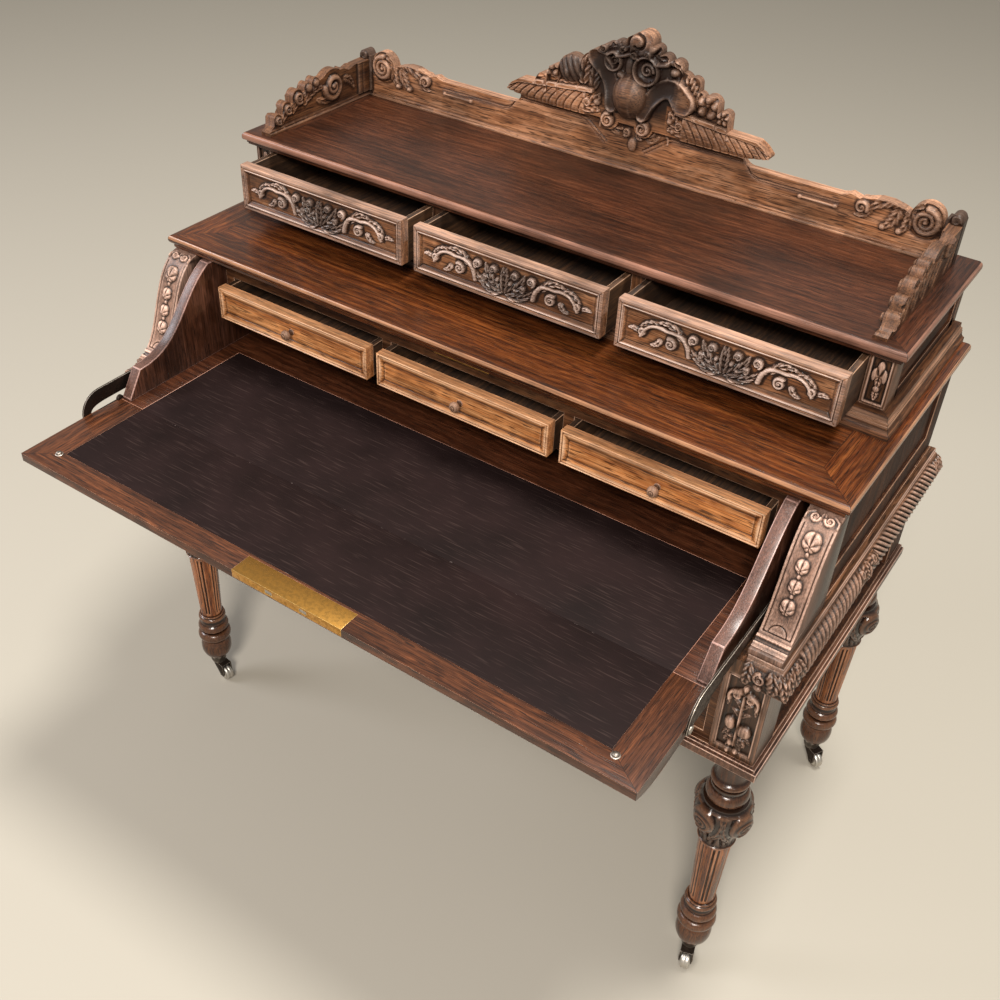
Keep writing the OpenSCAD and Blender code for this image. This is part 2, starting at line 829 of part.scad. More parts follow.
module slide_leather() {
    color(hide) block(-leather_x, leather_x, hinge_y, hinge_y + leather_back,
        writing_h - leather_t, writing_h);
}

// Cheek with an S edge; its worn end lies in the plane of the closed leaf
cheek_tip = on_lean(hinge_y, 55.5, 0.4);
cheek_foot = on_lean(hinge_y, 5, 0.4);
cheek_top_y = shelf_y + 4;
cheek_back_y = hinge_y + slide_out + 240;
cheek_z = shelf_z - 3;

module cheek() {
    along_x(cheek_x, bed_x) polygon(concat(
        curve([cheek_top_y, cheek_z], [cheek_top_y - 69, cheek_z - 40],
            [cheek_tip.x + 92, cheek_tip.y + 1], cheek_tip),
        [cheek_foot, [cheek_foot.x, writing_h], [cheek_back_y, writing_h], [cheek_back_y, cheek_z]]));
}

module cheeks() {
    color(oak) both() cheek();
}

module hinge_eye(x0, x1, r) {
    translate([x0, hinge_y, writing_h]) rotate([0, 90, 0]) cylinder(r = r, h = x1 - x0);
}

hinge_x1 = bed_x + hinge_plate_t;
hinge_x2 = hinge_x1 + hinge_plate_gap;
hinge_x3 = leaf_x - hinge_plate_gap;

module slide_hinges() {
    color(iron) both() difference() {
        union() {
            hinge_eye(bed_x, hinge_x1, ear_r);
            block(bed_x, hinge_x1, hinge_y, hinge_y + hinge_plate_l, bed_z + 2, writing_h - 1);
        }
        hinge_eye(bed_x - 1, hinge_x1 + 1, hinge_pin_r + pin_clear);
    }
}

// Leaf

leaf_under = curve([hinge_y - seam_gap, writing_h - leaf_t0], [hinge_y - 60, writing_h - leaf_t0 + 10],
    [hinge_y - 130, writing_h - leaf_t1 - 30], [hinge_y - leaf_l, writing_h - leaf_t1]);

module lock_body() {
    // Plate on the face, plate on the edge, and the case behind them
    block(-lock_w / 2, lock_w / 2, hinge_y - leaf_l, hinge_y - leaf_l + lock_d,
        writing_h - lock_t, writing_h);
    block(-lock_w / 2, lock_w / 2, hinge_y - leaf_l, hinge_y - leaf_l + lock_t,
        writing_h - leaf_t1 + 1, writing_h);
    block(-lock_case_w / 2, lock_case_w / 2, hinge_y - leaf_l + lock_t, hinge_y - leaf_l + lock_d - 2,
        writing_h - lock_case_h, writing_h - lock_t);
}

module stay_hole() {
    translate([leaf_x - 14, hinge_y - stay_s, writing_h - stay_drop]) rotate([0, 90, 0])
        cylinder(r = stay_pin_r, h = 20);
}

module leaf_board() {
    color(oak) difference() {
        along_x(-leaf_x, leaf_x) polygon(concat(leaf_under,
            [[hinge_y - leaf_l, writing_h], [hinge_y - seam_gap, writing_h]]));
        block(-leather_x, leather_x, hinge_y - leaf_l + border_front, hinge_y + 1,
            writing_h - leather_t, writing_h + 1);
        lock_body();
        both() {
            hinge_eye(bed_x - 0.3, leaf_x + 1, ear_r + 0.4);
            block(hinge_x2, leaf_x + 1, hinge_y - hinge_plate_l, hinge_y,
                bed_z + 3, writing_h + 1);
            stay_hole();
        }
        // Keyhole
        translate([0, hinge_y - leaf_l + lock_d / 2, writing_h - 40])
            cylinder(r = 3.5, h = 40 - lock_case_h);
    }
}

module leaf_leather() {
    color(hide) block(-leather_x, leather_x, hinge_y - leaf_l + border_front, hinge_y - seam_gap,
        writing_h - leather_t, writing_h);
}

module leaf_hinges() {
    color(iron) both() {
        hinge_eye(hinge_x2, hinge_x3, ear_r);
        block(hinge_x2, hinge_x3, hinge_y - hinge_plate_l, hinge_y - 1, bed_z + 3, writing_h);
        hinge_eye(bed_x + 0.1, hinge_x2, hinge_pin_r);
    }
}

module stay_screws() {
    color(bright_iron) both() translate([0, hinge_y - stay_s, writing_h - stay_drop])
        rotate([0, 90, 0]) {
            translate([0, 0, leaf_x - 14])
                cylinder(r = stay_pin_r, h = stay_x + stay_t + 0.3 - leaf_x + 14);
            translate([0, 0, stay_x + stay_t + 0.3]) cylinder(r = 6, h = head_t);
        }
}

bolt_z = writing_h - bolt_drop - bolt_h;
lock_in_y = hinge_y - leaf_l + lock_t;
bolt_bar_y = lock_in_y + bolt_travel + 1;

module bolts(grow, y0, y1) {
    for (k = [-1, 1]) translate([k * bolt_gap / 2, 0, 0])
        block(-bolt_w / 2 - grow, bolt_w / 2 + grow, y0, y1, bolt_z - grow, bolt_z + bolt_h + grow);
}

module lock() {
    color(brass) difference() {
        lock_body();
        // Hollow for the bolts
        block(-lock_case_w / 2 + lock_wall, lock_case_w / 2 - lock_wall,
            lock_in_y, hinge_y - leaf_l + lock_d - 2 - lock_wall,
            bolt_z - 0.2, bolt_z + bolt_h + 0.2);
        bolts(0.2, hinge_y - leaf_l - 1, lock_in_y + 1);
    }
}

module lock_bolts() {
    color(bright_iron) {
        bolts(0, lock_in_y - lock_t + 0.5, bolt_bar_y);
        block(-bolt_gap / 2 - bolt_w / 2, bolt_gap / 2 + bolt_w / 2, bolt_bar_y, bolt_bar_y + 6,
            bolt_z, bolt_z + bolt_h);
    }
}

// Stay: a level bar whose front end curves down to its pivot on the leaf
stay_y = hinge_y - stay_s;
stay_z = writing_h - stay_drop;
stay_neck_z = stay_z + stay_pin_r + 1;
module stay() {
    difference() {
        union() {
            along_x(stay_x, stay_x + stay_t) polygon(concat(
                curve([stay_y - stay_neck, stay_neck_z], [stay_y - stay_neck, stay_z + 24],
                    [stay_y + 6, writing_h + stay_bar_z + stay_h],
                    [stay_y + 30, writing_h + stay_bar_z + stay_h], 8),
                [[stay_y + stay_l, writing_h + stay_bar_z + stay_h],
                 [stay_y + stay_l, writing_h + stay_bar_z]],
                curve([stay_y + 44, writing_h + stay_bar_z], [stay_y + 22, writing_h + stay_bar_z],
                    [stay_y + stay_neck, stay_z + 16], [stay_y + stay_neck, stay_neck_z], 8)));
            along_x(stay_x, stay_x + stay_t)
                translate([stay_y, stay_z]) circle(r = stay_eye_r);
        }
        along_x(stay_x - 1, stay_x + stay_t + 1)
            translate([stay_y, stay_z]) circle(r = stay_pin_r + pin_clear);
    }
}

module stay_left() {
    color(iron) left() stay();
}

module stay_right() {
    color(iron) stay();
}

// Drawers

// Front with a mitred frame round a sunk field, w wide and h high, its face at y = 0
module drawer_front(w, h) {
    difference() {
        block(-w / 2, w / 2, 0, front_t, 0, h);
        block(-w / 2 + frame_w, w / 2 - frame_w, -1, field_d, frame_w, h - frame_w);
    }
}

// Open box behind the front, w wide, h high and l long
module drawer_box(w, h, l) {
    difference() {
        block(-w / 2, w / 2, front_t, front_t + l, 0, h);
        block(-w / 2 + drawer_t, w / 2 - drawer_t, front_t - 1, front_t + l - drawer_t,
            drawer_floor_t, h + 1);
    }
}

module knob() {
    rotate([90, 0, 0]) rotate_extrude() polygon(concat(
        [[0, 0], [knob_r * 0.6, 0], [knob_r * 0.4, knob_l * 0.35]],
        curve([knob_r * 0.8, knob_l * 0.42], [knob_r * 1.15, knob_l * 0.6],
            [knob_r * 0.9, knob_l * 0.95], [0, knob_l], 8)));
}

module at_inner(i) {
    translate([i * inner_pitch, inner_y, inner_z]) children();
}

module inner_front(i) {
    color(honey_oak) at_inner(i) {
        drawer_front(inner_w - 2 * drawer_gap, inner_h);
        translate([0, field_d, inner_h / 2]) knob();
    }
}

module inner_box(i) {
    color(light_oak) at_inner(i) drawer_box(inner_w - 2 * drawer_gap, inner_h - 3, inner_l);
}

module inner_front_left() {
    inner_front(-1);
}

module inner_front_middle() {
    inner_front(0);
}

module inner_front_right() {
    inner_front(1);
}

module inner_box_left() {
    inner_box(-1);
}

module inner_box_middle() {
    inner_box(0);
}

module inner_box_right() {
    inner_box(1);
}

// Foliate scroll: curling stems to either side of a boss
module scroll_relief(w, h) {
    sphere(r = h / 7);
    for (k = [-1, 1], i = [0:2])
        translate([k * w * (0.075 + 0.115 * i), 0, 0])
            rotate([90, 0, 0]) rotate([0, 0, (i % 2) * 180 + (k < 0 ? 30 : -30)])
                rotate_extrude(angle = 240) translate([h / 4.6 - i, 0]) circle(r = 2.6);
}

upper_drawer_w = upper_w - 2 * drawer_gap;
upper_drawer_h = upper_h - 4;

module at_upper(i) {
    translate([i * upper_pitch, upper_front_y, upper_z + drawer_gap]) children();
}

module upper_front(i) {
    color(light_oak) at_upper(i) {
        drawer_front(upper_drawer_w, upper_drawer_h);
        translate([0, field_d, upper_drawer_h / 2])
            scroll_relief(upper_drawer_w, upper_drawer_h - 2 * frame_w);
    }
}

module upper_box(i) {
    color(oak) at_upper(i) drawer_box(upper_drawer_w, upper_drawer_h - 4, upper_l);
}

module upper_front_left() {
    upper_front(-1);
}

module upper_front_middle() {
    upper_front(0);
}

module upper_front_right() {
    upper_front(1);
}

module upper_box_left() {
    upper_box(-1);
}

module upper_box_middle() {
    upper_box(0);
}

module upper_box_right() {
    upper_box(1);
}

frieze_w = 2 * post_in_x - 2 * drawer_gap;
frieze_h = band_z - foot_z - 2 * drawer_gap;

module at_frieze() {
    translate([0, frieze_y, foot_z + drawer_gap]) children();
}

module frieze_front() {
    color(oak) at_frieze() drawer_front(frieze_w, frieze_h);
}

module frieze_box() {
    color(light_oak) at_frieze() drawer_box(frieze_w - 4, frieze_h - 16, frieze_l);
}

leg_front_left();
leg_front_right();
leg_rear_left();
leg_rear_right();
caster_sockets();
caster_fork_front_left();
caster_fork_front_right();
caster_fork_rear_left();
caster_fork_rear_right();
caster_wheel_front_left();
caster_wheel_front_right();
caster_wheel_rear_left();
caster_wheel_rear_right();
base_sides();
base_bottom();
front_rails();
foot_moulding();
gadroon_bands();
slide_runners();
back_panel();
mid_sides();
bracket_left();
bracket_right();
drawer_nest();
shelf();
strike_plate();
upper_plinth();
upper_ends();
upper_dividers();
upper_back();
cap();
gallery_back();
gallery_sides();
crest();
slide_board();
slide_leather();
cheeks();
slide_hinges();
leaf_board();
leaf_leather();
leaf_hinges();
stay_screws();
lock();
lock_bolts();
stay_left();
stay_right();
inner_front_left();
inner_front_middle();
inner_front_right();
inner_box_left();
inner_box_middle();
inner_box_right();
upper_front_left();
upper_front_middle();
upper_front_right();
upper_box_left();
upper_box_middle();
upper_box_right();
frieze_front();
frieze_box();
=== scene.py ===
import json
import math

import bmesh
import bpy
import numpy as np
from mathutils import Matrix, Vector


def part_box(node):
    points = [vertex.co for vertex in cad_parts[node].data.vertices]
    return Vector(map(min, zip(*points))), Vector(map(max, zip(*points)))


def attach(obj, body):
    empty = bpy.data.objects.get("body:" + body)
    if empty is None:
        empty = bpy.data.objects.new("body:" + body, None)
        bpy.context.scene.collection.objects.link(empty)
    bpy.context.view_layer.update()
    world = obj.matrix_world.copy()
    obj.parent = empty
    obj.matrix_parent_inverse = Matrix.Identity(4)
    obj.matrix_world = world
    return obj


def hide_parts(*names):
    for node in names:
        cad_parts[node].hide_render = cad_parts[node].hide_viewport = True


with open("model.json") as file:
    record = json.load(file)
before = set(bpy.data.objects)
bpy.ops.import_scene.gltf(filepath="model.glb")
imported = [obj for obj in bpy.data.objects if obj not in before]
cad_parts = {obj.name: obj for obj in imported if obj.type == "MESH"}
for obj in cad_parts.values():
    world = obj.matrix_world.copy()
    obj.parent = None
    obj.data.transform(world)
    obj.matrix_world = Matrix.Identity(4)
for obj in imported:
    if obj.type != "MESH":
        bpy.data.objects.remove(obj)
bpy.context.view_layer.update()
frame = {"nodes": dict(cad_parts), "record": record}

# Lengths below are in millimetres; meshes are made in metres.
MM = 0.001
SIDES = ["left", "middle", "right"]
HANDS = (("left", -1), ("right", 1))
CORNERS = ["front_left", "front_right", "rear_left", "rear_right"]
AXES = {"x": (0, 1, 2), "y": (1, 0, 2), "z": (2, 0, 1)}
# Heights that pieces share, and the depth of the desk's back.
CASE_FOOT, WRITING_TOP, SHELF_FOOT, SHELF_TOP, UPPER_FOOT, UPPER_TOP = 530, 750, 917, 939, 968, 1046
REAR = 430


def ends(node):
    low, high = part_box(node)
    return np.array(low) / MM, np.array(high) / MM


def body_of(node):
    bodies = frame["record"]["behaviour"]["bodies"]
    return next(name for name, nodes in bodies.items() if node in nodes)


# Materials

def linear(colour):
    parts = [int(colour[i:i + 2], 16) / 255 for i in (1, 3, 5)]
    return [c / 12.92 if c <= 0.04045 else ((c + 0.055) / 1.055) ** 2.4 for c in parts] + [1]


def add(tree, kind, stops=(), **wanted):
    """Adds a shader node. Its settings go by their own names, its sockets by theirs, with a capital, or
    as i0, i1 in order. A socket takes a number, a hex colour, a node, or a node and one of its outputs.
    What is mixed is always colour."""
    node = tree.nodes.new("ShaderNode" + kind)
    if kind == "Mix":
        node.data_type = "RGBA"
    sockets = {n: v for n, v in wanted.items() if n[0].isupper() or n[1:].isdigit()}
    for name, value in wanted.items():
        if name not in sockets:
            setattr(node, name, value)
    for name, value in sockets.items():
        if name[1:].isdigit():
            socket = node.inputs[int(name[1:])]
        else:
            socket = next(s for s in node.inputs if s.enabled and s.name == name.replace("_", " "))
        if isinstance(value, bpy.types.Node):
            tree.links.new(next(s for s in value.outputs if s.enabled), socket)
        elif isinstance(value, tuple) and isinstance(value[0], bpy.types.Node):
            tree.links.new(value[0].outputs[value[1]], socket)
        else:
            socket.default_value = linear(value) if isinstance(value, str) else value
    for index, (place, colour) in enumerate(stops):
        elements = node.color_ramp.elements
        stop = elements[index] if index < 2 else elements.new(place)
        stop.position = place
        stop.color = linear(colour) if isinstance(colour, str) else [colour] * 3 + [1]
    return node


def new_material(name):
    material = bpy.data.materials.new(name)
    material.use_nodes = True
    tree = material.node_tree
    tree.nodes.clear()
    return material, tree


# Oak, planed or carved, stained and waxed. The stain is soaked up in streaks along the grain, the
# long pores stay dark, wax gives a satin gloss, dirt fills the hollows and hands have rubbed the
# arrises pale; on some pieces the same stain, hollow and worn values also carry painted shade and a
# painted highlight. Pores are drawn 1.3 mm wide, about four times the real ones, to show.
def oak(name, deep, mid, pale, rubbed, dirt="#150b07", ring=9.0, gloss=0.4, contrast=1.0, wax=0.15,
        shine=None):
    material, tree = new_material(name)
    names = ("grain", "worn", "hollow", "stain")
    grain, worn, hollow, stain = (add(tree, "Attribute", attribute_name=name) for name in names)
    places = {stretch: add(tree, "Mapping", Vector=(grain, "Vector"), Scale=(1 / stretch, 1, 1))
              for stretch in (2.2, 18, 38, 70)}
    fibre = add(tree, "TexNoise", Vector=places[70], Scale=1 / 2.0, Detail=3, Roughness=0.75)
    pores = add(tree, "TexNoise", Vector=places[18], Scale=1 / 1.3, Detail=0)
    cloud = add(tree, "TexNoise", Vector=places[2.2], Scale=1 / 70, Detail=5, Roughness=0.6)
    streak = add(tree, "TexNoise", Vector=places[38], Scale=1 / 10, Detail=5, Roughness=0.65, Distortion=0.1)
    bend = add(tree, "VectorMath", operation="MULTIPLY_ADD", i0=(cloud, "Color"),
               i1=(0, ring * 5, ring * 5), i2=(grain, "Vector"))
    rings = add(tree, "Mapping", Vector=bend, Scale=(0.012, 1, 0.35))
    wave = add(tree, "TexWave", bands_direction="Y", Vector=rings, Scale=0.314 / ring,
               Distortion=2.2, Detail=3, Detail_Scale=1.5)

    base = add(tree, "ValToRGB", [(0.24, deep), (0.5, mid), (0.76, pale)], Fac=streak)
    summer = add(tree, "ValToRGB", [(0.0, deep), (0.6, mid), (1.0, pale)], Fac=(wave, "Fac"))
    figured = add(tree, "Mix", Factor=0.3, A=base, B=summer)
    fine = add(tree, "ValToRGB", [(0.4, 0.42), (0.58, 1.15)], Fac=fibre)
    fibred = add(tree, "Mix", blend_type="MULTIPLY", Factor=0.75, A=figured, B=fine)
    shade = add(tree, "ValToRGB", [(0.36, 1 - 0.5 * contrast), (0.62, 1.1)], Fac=cloud)
    clouded = add(tree, "Mix", blend_type="MULTIPLY", Factor=1.0, A=fibred, B=shade)
    pore_mask = add(tree, "ValToRGB", [(0.6, 0.0), (0.68, 0.75)], Fac=pores)
    pored = add(tree, "Mix", Factor=pore_mask, A=clouded, B=dirt)

    patches = add(tree, "Math", operation="MULTIPLY", i0=fibre, i1=cloud)
    patchy = add(tree, "Math", operation="MULTIPLY_ADD", use_clamp=True, i0=patches, i1=4.5, i2=-0.4)
    # The stain value is dark wax, and on the posts' and brackets' side faces painted shade. The worn value
    # is wear, and above the legs' coves also a painted highlight. The hollow value is dirt, and in those
    # coves also painted shade.
    dye_and_shade = add(tree, "Math", operation="MULTIPLY", use_clamp=True, i0=(stain, "Fac"), i1=0.93)
    stained = add(tree, "Mix", Factor=dye_and_shade, A=pored, B="#241914")
    kept = add(tree, "Math", operation="MULTIPLY_ADD", i0=dye_and_shade, i1=-0.8, i2=1.0)
    wear_and_highlight = add(tree, "Math", operation="MULTIPLY", i0=(worn, "Fac"), i1=kept)
    rub = add(tree, "Math", operation="MULTIPLY", use_clamp=True, i0=wear_and_highlight, i1=patchy)
    rubbed_oak = add(tree, "Mix", Factor=rub, A=stained, B=rubbed)
    grime_and_shade = add(tree, "Math", operation="MULTIPLY", use_clamp=True, i0=(hollow, "Fac"), i1=0.92)
    dirty = add(tree, "Mix", Factor=grime_and_shade, A=rubbed_oak, B=dirt)

    dull = add(tree, "Math", operation="MULTIPLY_ADD", i0=fibre, i1=0.28, i2=gloss - 0.14)
    rough = add(tree, "Math", operation="MULTIPLY_ADD", use_clamp=True, i0=(stain, "Fac"), i1=-0.1, i2=dull)
    relief = add(tree, "Math", operation="MULTIPLY_ADD", i0=pore_mask, i1=-1.2, i2=fibre)
    bump = add(tree, "Bump", Height=relief, Strength=0.35, Distance=0.25 * MM)
    shader = add(tree, "BsdfPrincipled", Base_Color=dirty, Roughness=rough, Normal=bump, IOR=1.5,
                 Specular_IOR_Level=0.3 + wax if shine is None else shine, Coat_Weight=wax,
                 Coat_Roughness=0.25)
    add(tree, "OutputMaterial", Surface=shader)
    return material


# Panels and frames of the case, brown, their wax worn dull.
OAK = oak("waxed oak", "#28130a", "#57341d", "#7c5538", "#bc957c", gloss=0.5, wax=0.0)
# Panels and rear posts of the sides, which stand in the shade and keep most of their dirt.
SIDE_OAK = oak("dark side-panel oak", "#1c0d06", "#4a2a18", "#664028", "#a9846c", gloss=0.66,
               wax=0, shine=0.2)
# The cap, a dark red brown, handled least, with a pink bloom where its nosing is rubbed.
TOP_OAK = oak("polished oak top", "#2a1108", "#452312", "#5b3521", "#b88670", gloss=0.36, ring=12, wax=0.08)
# The shelf, orange brown and the glossiest, since arms polish it.
SHELF_OAK = oak("polished oak shelf", "#2c1003", "#55290f", "#7a4620", "#c3906c", gloss=0.28, ring=12)
# Small drawers' fronts, which the closed leaf keeps from light and dirt.
HONEY_OAK = oak("honey oak", "#8a481f", "#c98149", "#e3a36b", "#f0c6a0", dirt="#2a1409",
                gloss=0.34, contrast=0.8)
# Upper drawers' fronts, a greyer brown under old wax.
DRAWER_OAK = oak("brown drawer oak", "#45240f", "#8a5938", "#b5845f", "#dcc2b4", gloss=0.4, wax=0.05)
# Gallery and crest, bleached to a warm light brown.
GALLERY_OAK = oak("sunned oak", "#5b331e", "#9f6b47", "#c29170", "#e4c0aa", dirt="#1f100a",
                  gloss=0.55, wax=0.0)
# Carving with black wax in its cuts and rubbed heights.
CARVED_OAK = oak("carved oak", "#241108", "#54361f", "#83583f", "#d6b09c", dirt="#0c0604",
                 gloss=0.4, wax=0.05)
# Brackets and foot moulding, pink and grey where hands have passed for a century.
BRACKET_OAK = oak("hand-rubbed carved oak", "#371e13", "#6a4735", "#906a55", "#d8b3a0", dirt="#120906",
                  gloss=0.42, wax=0.05)
# Cheeks at the ends of the writing part, rubbed by sleeves.
CHEEK_OAK = oak("sleeve-rubbed oak", "#29130a", "#492a1b", "#634033", "#a38076", gloss=0.34)
# Frame of the leaf, brown, dark where wax has built up.
LEAF_OAK = oak("brown leaf oak", "#281206", "#4f2a16", "#704125", "#c4957a", gloss=0.36, ring=11)
# Boards that were never stained.
RAW_OAK = oak("unfinished oak", "#3a281c", "#6f5340", "#8f7259", "#b0937a", gloss=0.62)
# Drawer boxes, stained nearly black inside by age.
BOX_OAK = oak("dark drawer-box oak", "#1e110a", "#402b1a", "#5f4029", "#a9866c", gloss=0.55)
# Turned legs, red brown with a thick glossy polish.
LEG_OAK = oak("polished leg oak", "#451d0a", "#874a22", "#b06c38", "#c48c68", dirt="#130906", gloss=0.24)


# Writing leather, dyed dark, tooled flat and a century old: a fine pebble, long pale scratches, and
# scuffs through the dye along the borders. Pebbles are drawn 1.6 mm wide, twice the real ones.
def leather(name):
    material, tree = new_material(name)
    place = add(tree, "TexCoord")
    slope = add(tree, "Mapping", Vector=(place, "Object"), Rotation=(0, 0, math.radians(-14)),
                Scale=(0.05, 1, 1))
    pebble = add(tree, "TexVoronoi", feature="DISTANCE_TO_EDGE", Vector=(place, "Object"),
                 Scale=1 / (1.6 * MM))
    scratch = add(tree, "TexNoise", Vector=slope, Scale=1 / (2.2 * MM), Detail=2, Roughness=0.4)
    fine = add(tree, "ValToRGB", [(0.58, 0.0), (0.74, 0.5)], Fac=scratch)
    cloud = add(tree, "TexNoise", Vector=(place, "Object"), Scale=1 / (95 * MM), Detail=3)
    tone = add(tree, "ValToRGB", [(0.3, "#150c0b"), (0.7, "#201413")], Fac=cloud)
    scratched = add(tree, "Mix", Factor=fine, A=tone, B="#3d2f2b")
    worn = add(tree, "Attribute", attribute_name="worn")
    speck = add(tree, "TexNoise", Vector=(place, "Object"), Scale=1 / (9 * MM), Detail=5)
    scuff = add(tree, "ValToRGB", [(0.62, 0.0), (0.72, 0.6)], Fac=speck)
    edge = add(tree, "Math", operation="MULTIPLY", i0=scuff, i1=(worn, "Fac"))
    colour = add(tree, "Mix", Factor=edge, A=scratched, B="#b9a79f")
    height = add(tree, "Math", operation="MULTIPLY_ADD", i0=fine, i1=-1.5, i2=pebble)
    bump = add(tree, "Bump", Height=height, Strength=0.3, Distance=0.2 * MM)
    rough = add(tree, "Math", operation="MULTIPLY_ADD", i0=cloud, i1=0.2, i2=0.56)
    shader = add(tree, "BsdfPrincipled", Base_Color=colour, Roughness=rough, Normal=bump, IOR=1.45,
                 Specular_IOR_Level=0.12)
    add(tree, "OutputMaterial", Surface=shader)
    return material


# Cast or wrought metal that has stood for a century: tarnish lies in spots about 6 mm across, and
# what hands and floors have rubbed is brighter.
def old_metal(name, clean, tarnish, rubbed, rough=0.35, mottle=6.0):
    material, tree = new_material(name)
    place = add(tree, "TexCoord")
    worn = add(tree, "Attribute", attribute_name="worn")
    spots = add(tree, "TexNoise", Vector=(place, "Object"), Scale=1 / (mottle * MM), Detail=6,
                Roughness=0.65)
    mask = add(tree, "ValToRGB", [(0.4, 0.0), (0.7, 1.0)], Fac=spots)
    tone = add(tree, "Mix", Factor=mask, A=clean, B=tarnish)
    colour = add(tree, "Mix", Factor=(worn, "Fac"), A=tone, B=rubbed)
    gloss = add(tree, "Math", operation="MULTIPLY_ADD", i0=mask, i1=0.25, i2=rough)
    bump = add(tree, "Bump", Height=spots, Strength=0.2, Distance=0.2 * MM)
    shader = add(tree, "BsdfPrincipled", Base_Color=colour, Metallic=1, Roughness=gloss, Normal=bump)
    add(tree, "OutputMaterial", Surface=shader)
    return material


LEATHER = leather("aged writing leather")
BRASS = old_metal("aged brass", "#c9974e", "#9c7133", "#e0bb78", rough=0.32)
IRON = old_metal("dark wrought iron", "#4a4039", "#2b231e", "#c3b9ad", rough=0.42)
STEEL = old_metal("worn bright iron", "#b9b2a8", "#8b847b", "#d8d4cd", rough=0.34)


# Building meshes

def linked(name, data):
    obj = bpy.data.objects.new(name, data)
    bpy.context.scene.collection.objects.link(obj)
    return obj


def mesh_of(shape, name):
    mesh = bpy.data.meshes.new(name)
    shape.to_mesh(mesh)
    shape.free()
    return mesh


def smoothly(obj, angle=32):
    obj.data.polygons.foreach_set("use_smooth", [True] * len(obj.data.polygons))
    obj.data.set_sharp_from_angle(angle=math.radians(angle))


def set_grain(mesh, axis, name):
    """Wood coordinates of every corner: along the grain, then the two ways across, in millimetres."""
    count = len(mesh.loops)
    index = np.empty(count, np.int32)
    mesh.loops.foreach_get("vertex_index", index)
    place = np.empty(len(mesh.vertices) * 3, np.float32)
    mesh.vertices.foreach_get("co", place)
    place = place.reshape(-1, 3)[index] / MM
    start = 37.0 * (sum(ord(c) * (i + 1) for i, c in enumerate(name)) % 101)
    values = place[:, AXES[axis]] + start
    layer = mesh.attributes.new("grain", "FLOAT_VECTOR", "CORNER")
    layer.data.foreach_set("vector", values.astype(np.float32).ravel())


def seat(obj, node, replaced=()):
    """The piece rides on the node's body and stands for the nodes."""
    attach(obj, body_of(node))
    if replaced:
        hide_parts(*replaced)
    return obj


def object_from(name, points, faces, material, closed=True):
    mesh = bpy.data.meshes.new(name)
    mesh.from_pydata((np.asarray(points, float) * MM).tolist(), [], faces)
    mesh.materials.append(material)
    if closed:
        shape = bmesh.new()
        shape.from_mesh(mesh)
        bmesh.ops.recalc_face_normals(shape, faces=shape.faces)
        shape.to_mesh(mesh)
        shape.free()
    return linked(name, mesh)


def set_values(mesh, name, values, domain="POINT"):
    layer = mesh.attributes.new(name, "FLOAT", domain)
    layer.data.foreach_set("value", np.asarray(values, np.float32))


def finished(obj, node, replaced, axis, angle, seed=None, **values):
    """Gives a carved or turned piece its values worn, hollow and stain, none of them on points past the
    last value, then its grain and its seat."""
    for name, value in values.items():
        spare = np.zeros(len(obj.data.vertices) - np.size(value))
        set_values(obj.data, name, np.concatenate([np.ravel(value), spare]))
    set_grain(obj.data, axis, seed or obj.name)
    smoothly(obj, angle)
    return seat(obj, node, replaced)


def node_shape(node):
    shape = bmesh.new()
    shape.from_mesh(frame["nodes"][node].data)
    bmesh.ops.remove_doubles(shape, verts=shape.verts, dist=0.01 * MM)
    bmesh.ops.dissolve_limit(shape, angle_limit=math.radians(1), verts=shape.verts, edges=shape.edges)
    return shape


def box_shape(*boxes):
    """Boxes (x0, x1, y0, y1, z0, z1)."""
    shape = bmesh.new()
    for x0, x1, y0, y1, z0, z1 in boxes:
        place = Matrix.Translation(((x0 + x1) / 2 * MM, (y0 + y1) / 2 * MM, (z0 + z1) / 2 * MM))
        size = Matrix.Diagonal(((x1 - x0) * MM, (y1 - y0) * MM, (z1 - z0) * MM, 1))
        bmesh.ops.create_cube(shape, size=1, matrix=place @ size)
    return shape


def moulded_shape(x, y0, y1, profile):
    """A board from -x to x whose front and side edges have the profile, points (set back, height) from
    the foot up, mitred at the corners and square at the back."""
    shape = bmesh.new()
    rings = []
    for inset, z in profile:
        corners = [(-x + inset, y0 + inset), (x - inset, y0 + inset), (x - inset, y1), (-x + inset, y1)]
        rings.append([shape.verts.new((cx * MM, cy * MM, z * MM)) for cx, cy in corners])
    for low, high in zip(rings[:-1], rings[1:]):
        for i in range(4):
            shape.faces.new([low[i], low[(i + 1) % 4], high[(i + 1) % 4], high[i]])
    shape.faces.new(rings[0][::-1])
    shape.faces.new(rings[-1])
    return shape


def cut_out(shape, *boxes):
    """The shape with boxes cut out of it."""
    pieces = [linked("cut", mesh_of(part, "cut")) for part in (shape, box_shape(*boxes))]
    cut = pieces[0].modifiers.new("cut", "BOOLEAN")
    cut.operation, cut.solver, cut.object = "DIFFERENCE", "EXACT", pieces[1]
    result = bmesh.new()
    result.from_object(pieces[0], bpy.context.evaluated_depsgraph_get())
    for piece in pieces:
        bpy.data.objects.remove(piece)
    return result


